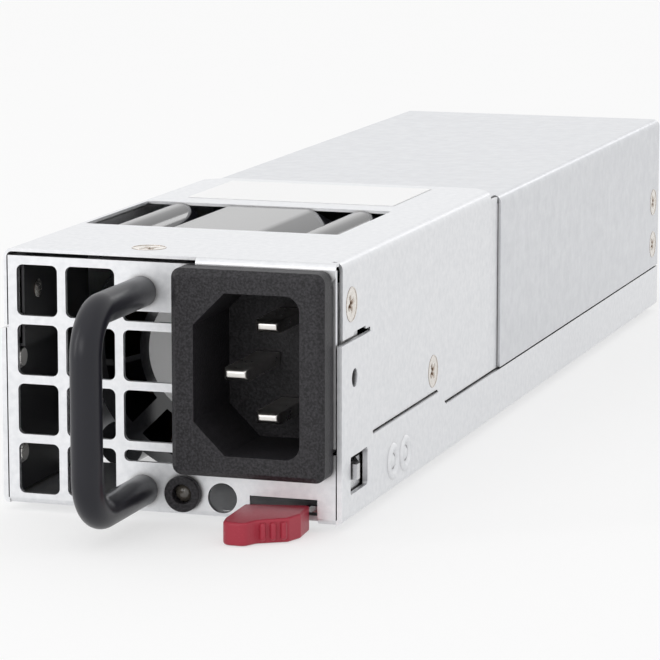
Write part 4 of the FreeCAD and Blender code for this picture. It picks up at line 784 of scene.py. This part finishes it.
def seenDirectly(tree, x, y):
    # One for rays of the camera, through glass and off gloss, nought for the rest.
    light = addNode(tree, "ShaderNodeLightPath", x - 280, y)
    seen = mathNode(tree, "MAXIMUM", x - 160, y, light.outputs["Is Camera Ray"],
                    light.outputs["Is Transmission Ray"])
    return mathNode(tree, "MAXIMUM", x, y, seen, light.outputs["Is Glossy Ray"])


def makeFloor():
    # Lit like paper, and shown partly as plain white.
    size = studio["floorSize"]
    low = -studio["floorBelow"]
    mesh = bpy.data.meshes.new("studioFloor")
    corners = [(-size, -size, low), (size, -size, low), (size, size, low), (-size, size, low)]
    mesh.from_pydata(corners, [], [(0, 1, 2, 3)])
    floor = addObject("studioFloor", mesh)
    material, tree, shader = newMaterial("paleFloor", Roughness=studio["floorRoughness"])
    coords = addNode(tree, "ShaderNodeTexCoord", -700, 0)
    noise = addNode(tree, "ShaderNodeTexNoise", -500, 0)
    noise.inputs["Scale"].default_value = studio["floorNoise"]
    tree.links.new(coords.outputs["Object"], noise.inputs["Vector"])
    tone = mixColor(tree, -260, 0, noise.outputs["Fac"], studio["floorDark"], studio["floorLight"])
    tree.links.new(tone, shader.inputs["Base Color"])
    seen = seenDirectly(tree, -340, -300)
    shown = mathNode(tree, "MULTIPLY", -200, -300, seen, studio["floorShown"])
    white = addNode(tree, "ShaderNodeEmission", 0, -300)
    blend = addNode(tree, "ShaderNodeMixShader", 320, 100)
    tree.links.new(shown, blend.inputs[0])
    tree.links.new(shader.outputs[0], blend.inputs[1])
    tree.links.new(white.outputs[0], blend.inputs[2])
    tree.links.new(blend.outputs[0], tree.nodes["Material Output"].inputs["Surface"])
    mesh.materials.append(material)


def makeWorld():
    # White where it is seen, a little dimmer where it lights.
    world = bpy.data.worlds.new("studioWorld")
    bpy.context.scene.world = world
    world.use_nodes = True
    tree = world.node_tree
    background = tree.nodes["Background"]
    background.inputs["Color"].default_value = (1, 1, 1, 1)
    strength = rangeTo(tree, seenDirectly(tree, -340, 0), studio["worldStrength"], 1.0, -200, 0)
    tree.links.new(strength, background.inputs["Strength"])


def makeSun():
    sun = bpy.data.lights.new("skySun", "SUN")
    sun.angle = math.radians(studio["sunSpread"])
    sun.energy = studio["sunStrength"]
    addHolder("skySun", sun, Vector(studio["sunDirection"]))


def makeLamp(name, place, target, size, power):
    lamp = bpy.data.lights.new(name, "AREA")
    lamp.shape = "RECTANGLE"
    lamp.size, lamp.size_y = size
    lamp.energy = power
    addHolder(name, lamp, Vector(target) - Vector(place), place)


def makeCamera():
    camera = bpy.data.cameras.new("mainCamera")
    camera.lens = studio["lens"]
    camera.sensor_width = studio["sensor"]
    camera.clip_start = studio["clipStart"]
    azimuth = math.radians(studio["azimuth"])
    elevation = math.radians(studio["elevation"])
    look = Vector((-math.sin(azimuth) * math.cos(elevation), math.cos(azimuth) * math.cos(elevation),
                   -math.sin(elevation)))
    bpy.context.scene.camera = addHolder("mainCamera", camera, look, studio["cameraPlace"])


makeFloor()
makeWorld()
for lamp in lamps:
    makeLamp(*lamp)
makeSun()
makeCamera()
bpy.context.scene.view_settings.view_transform = "Standard"
print("stage, lamps and camera set")
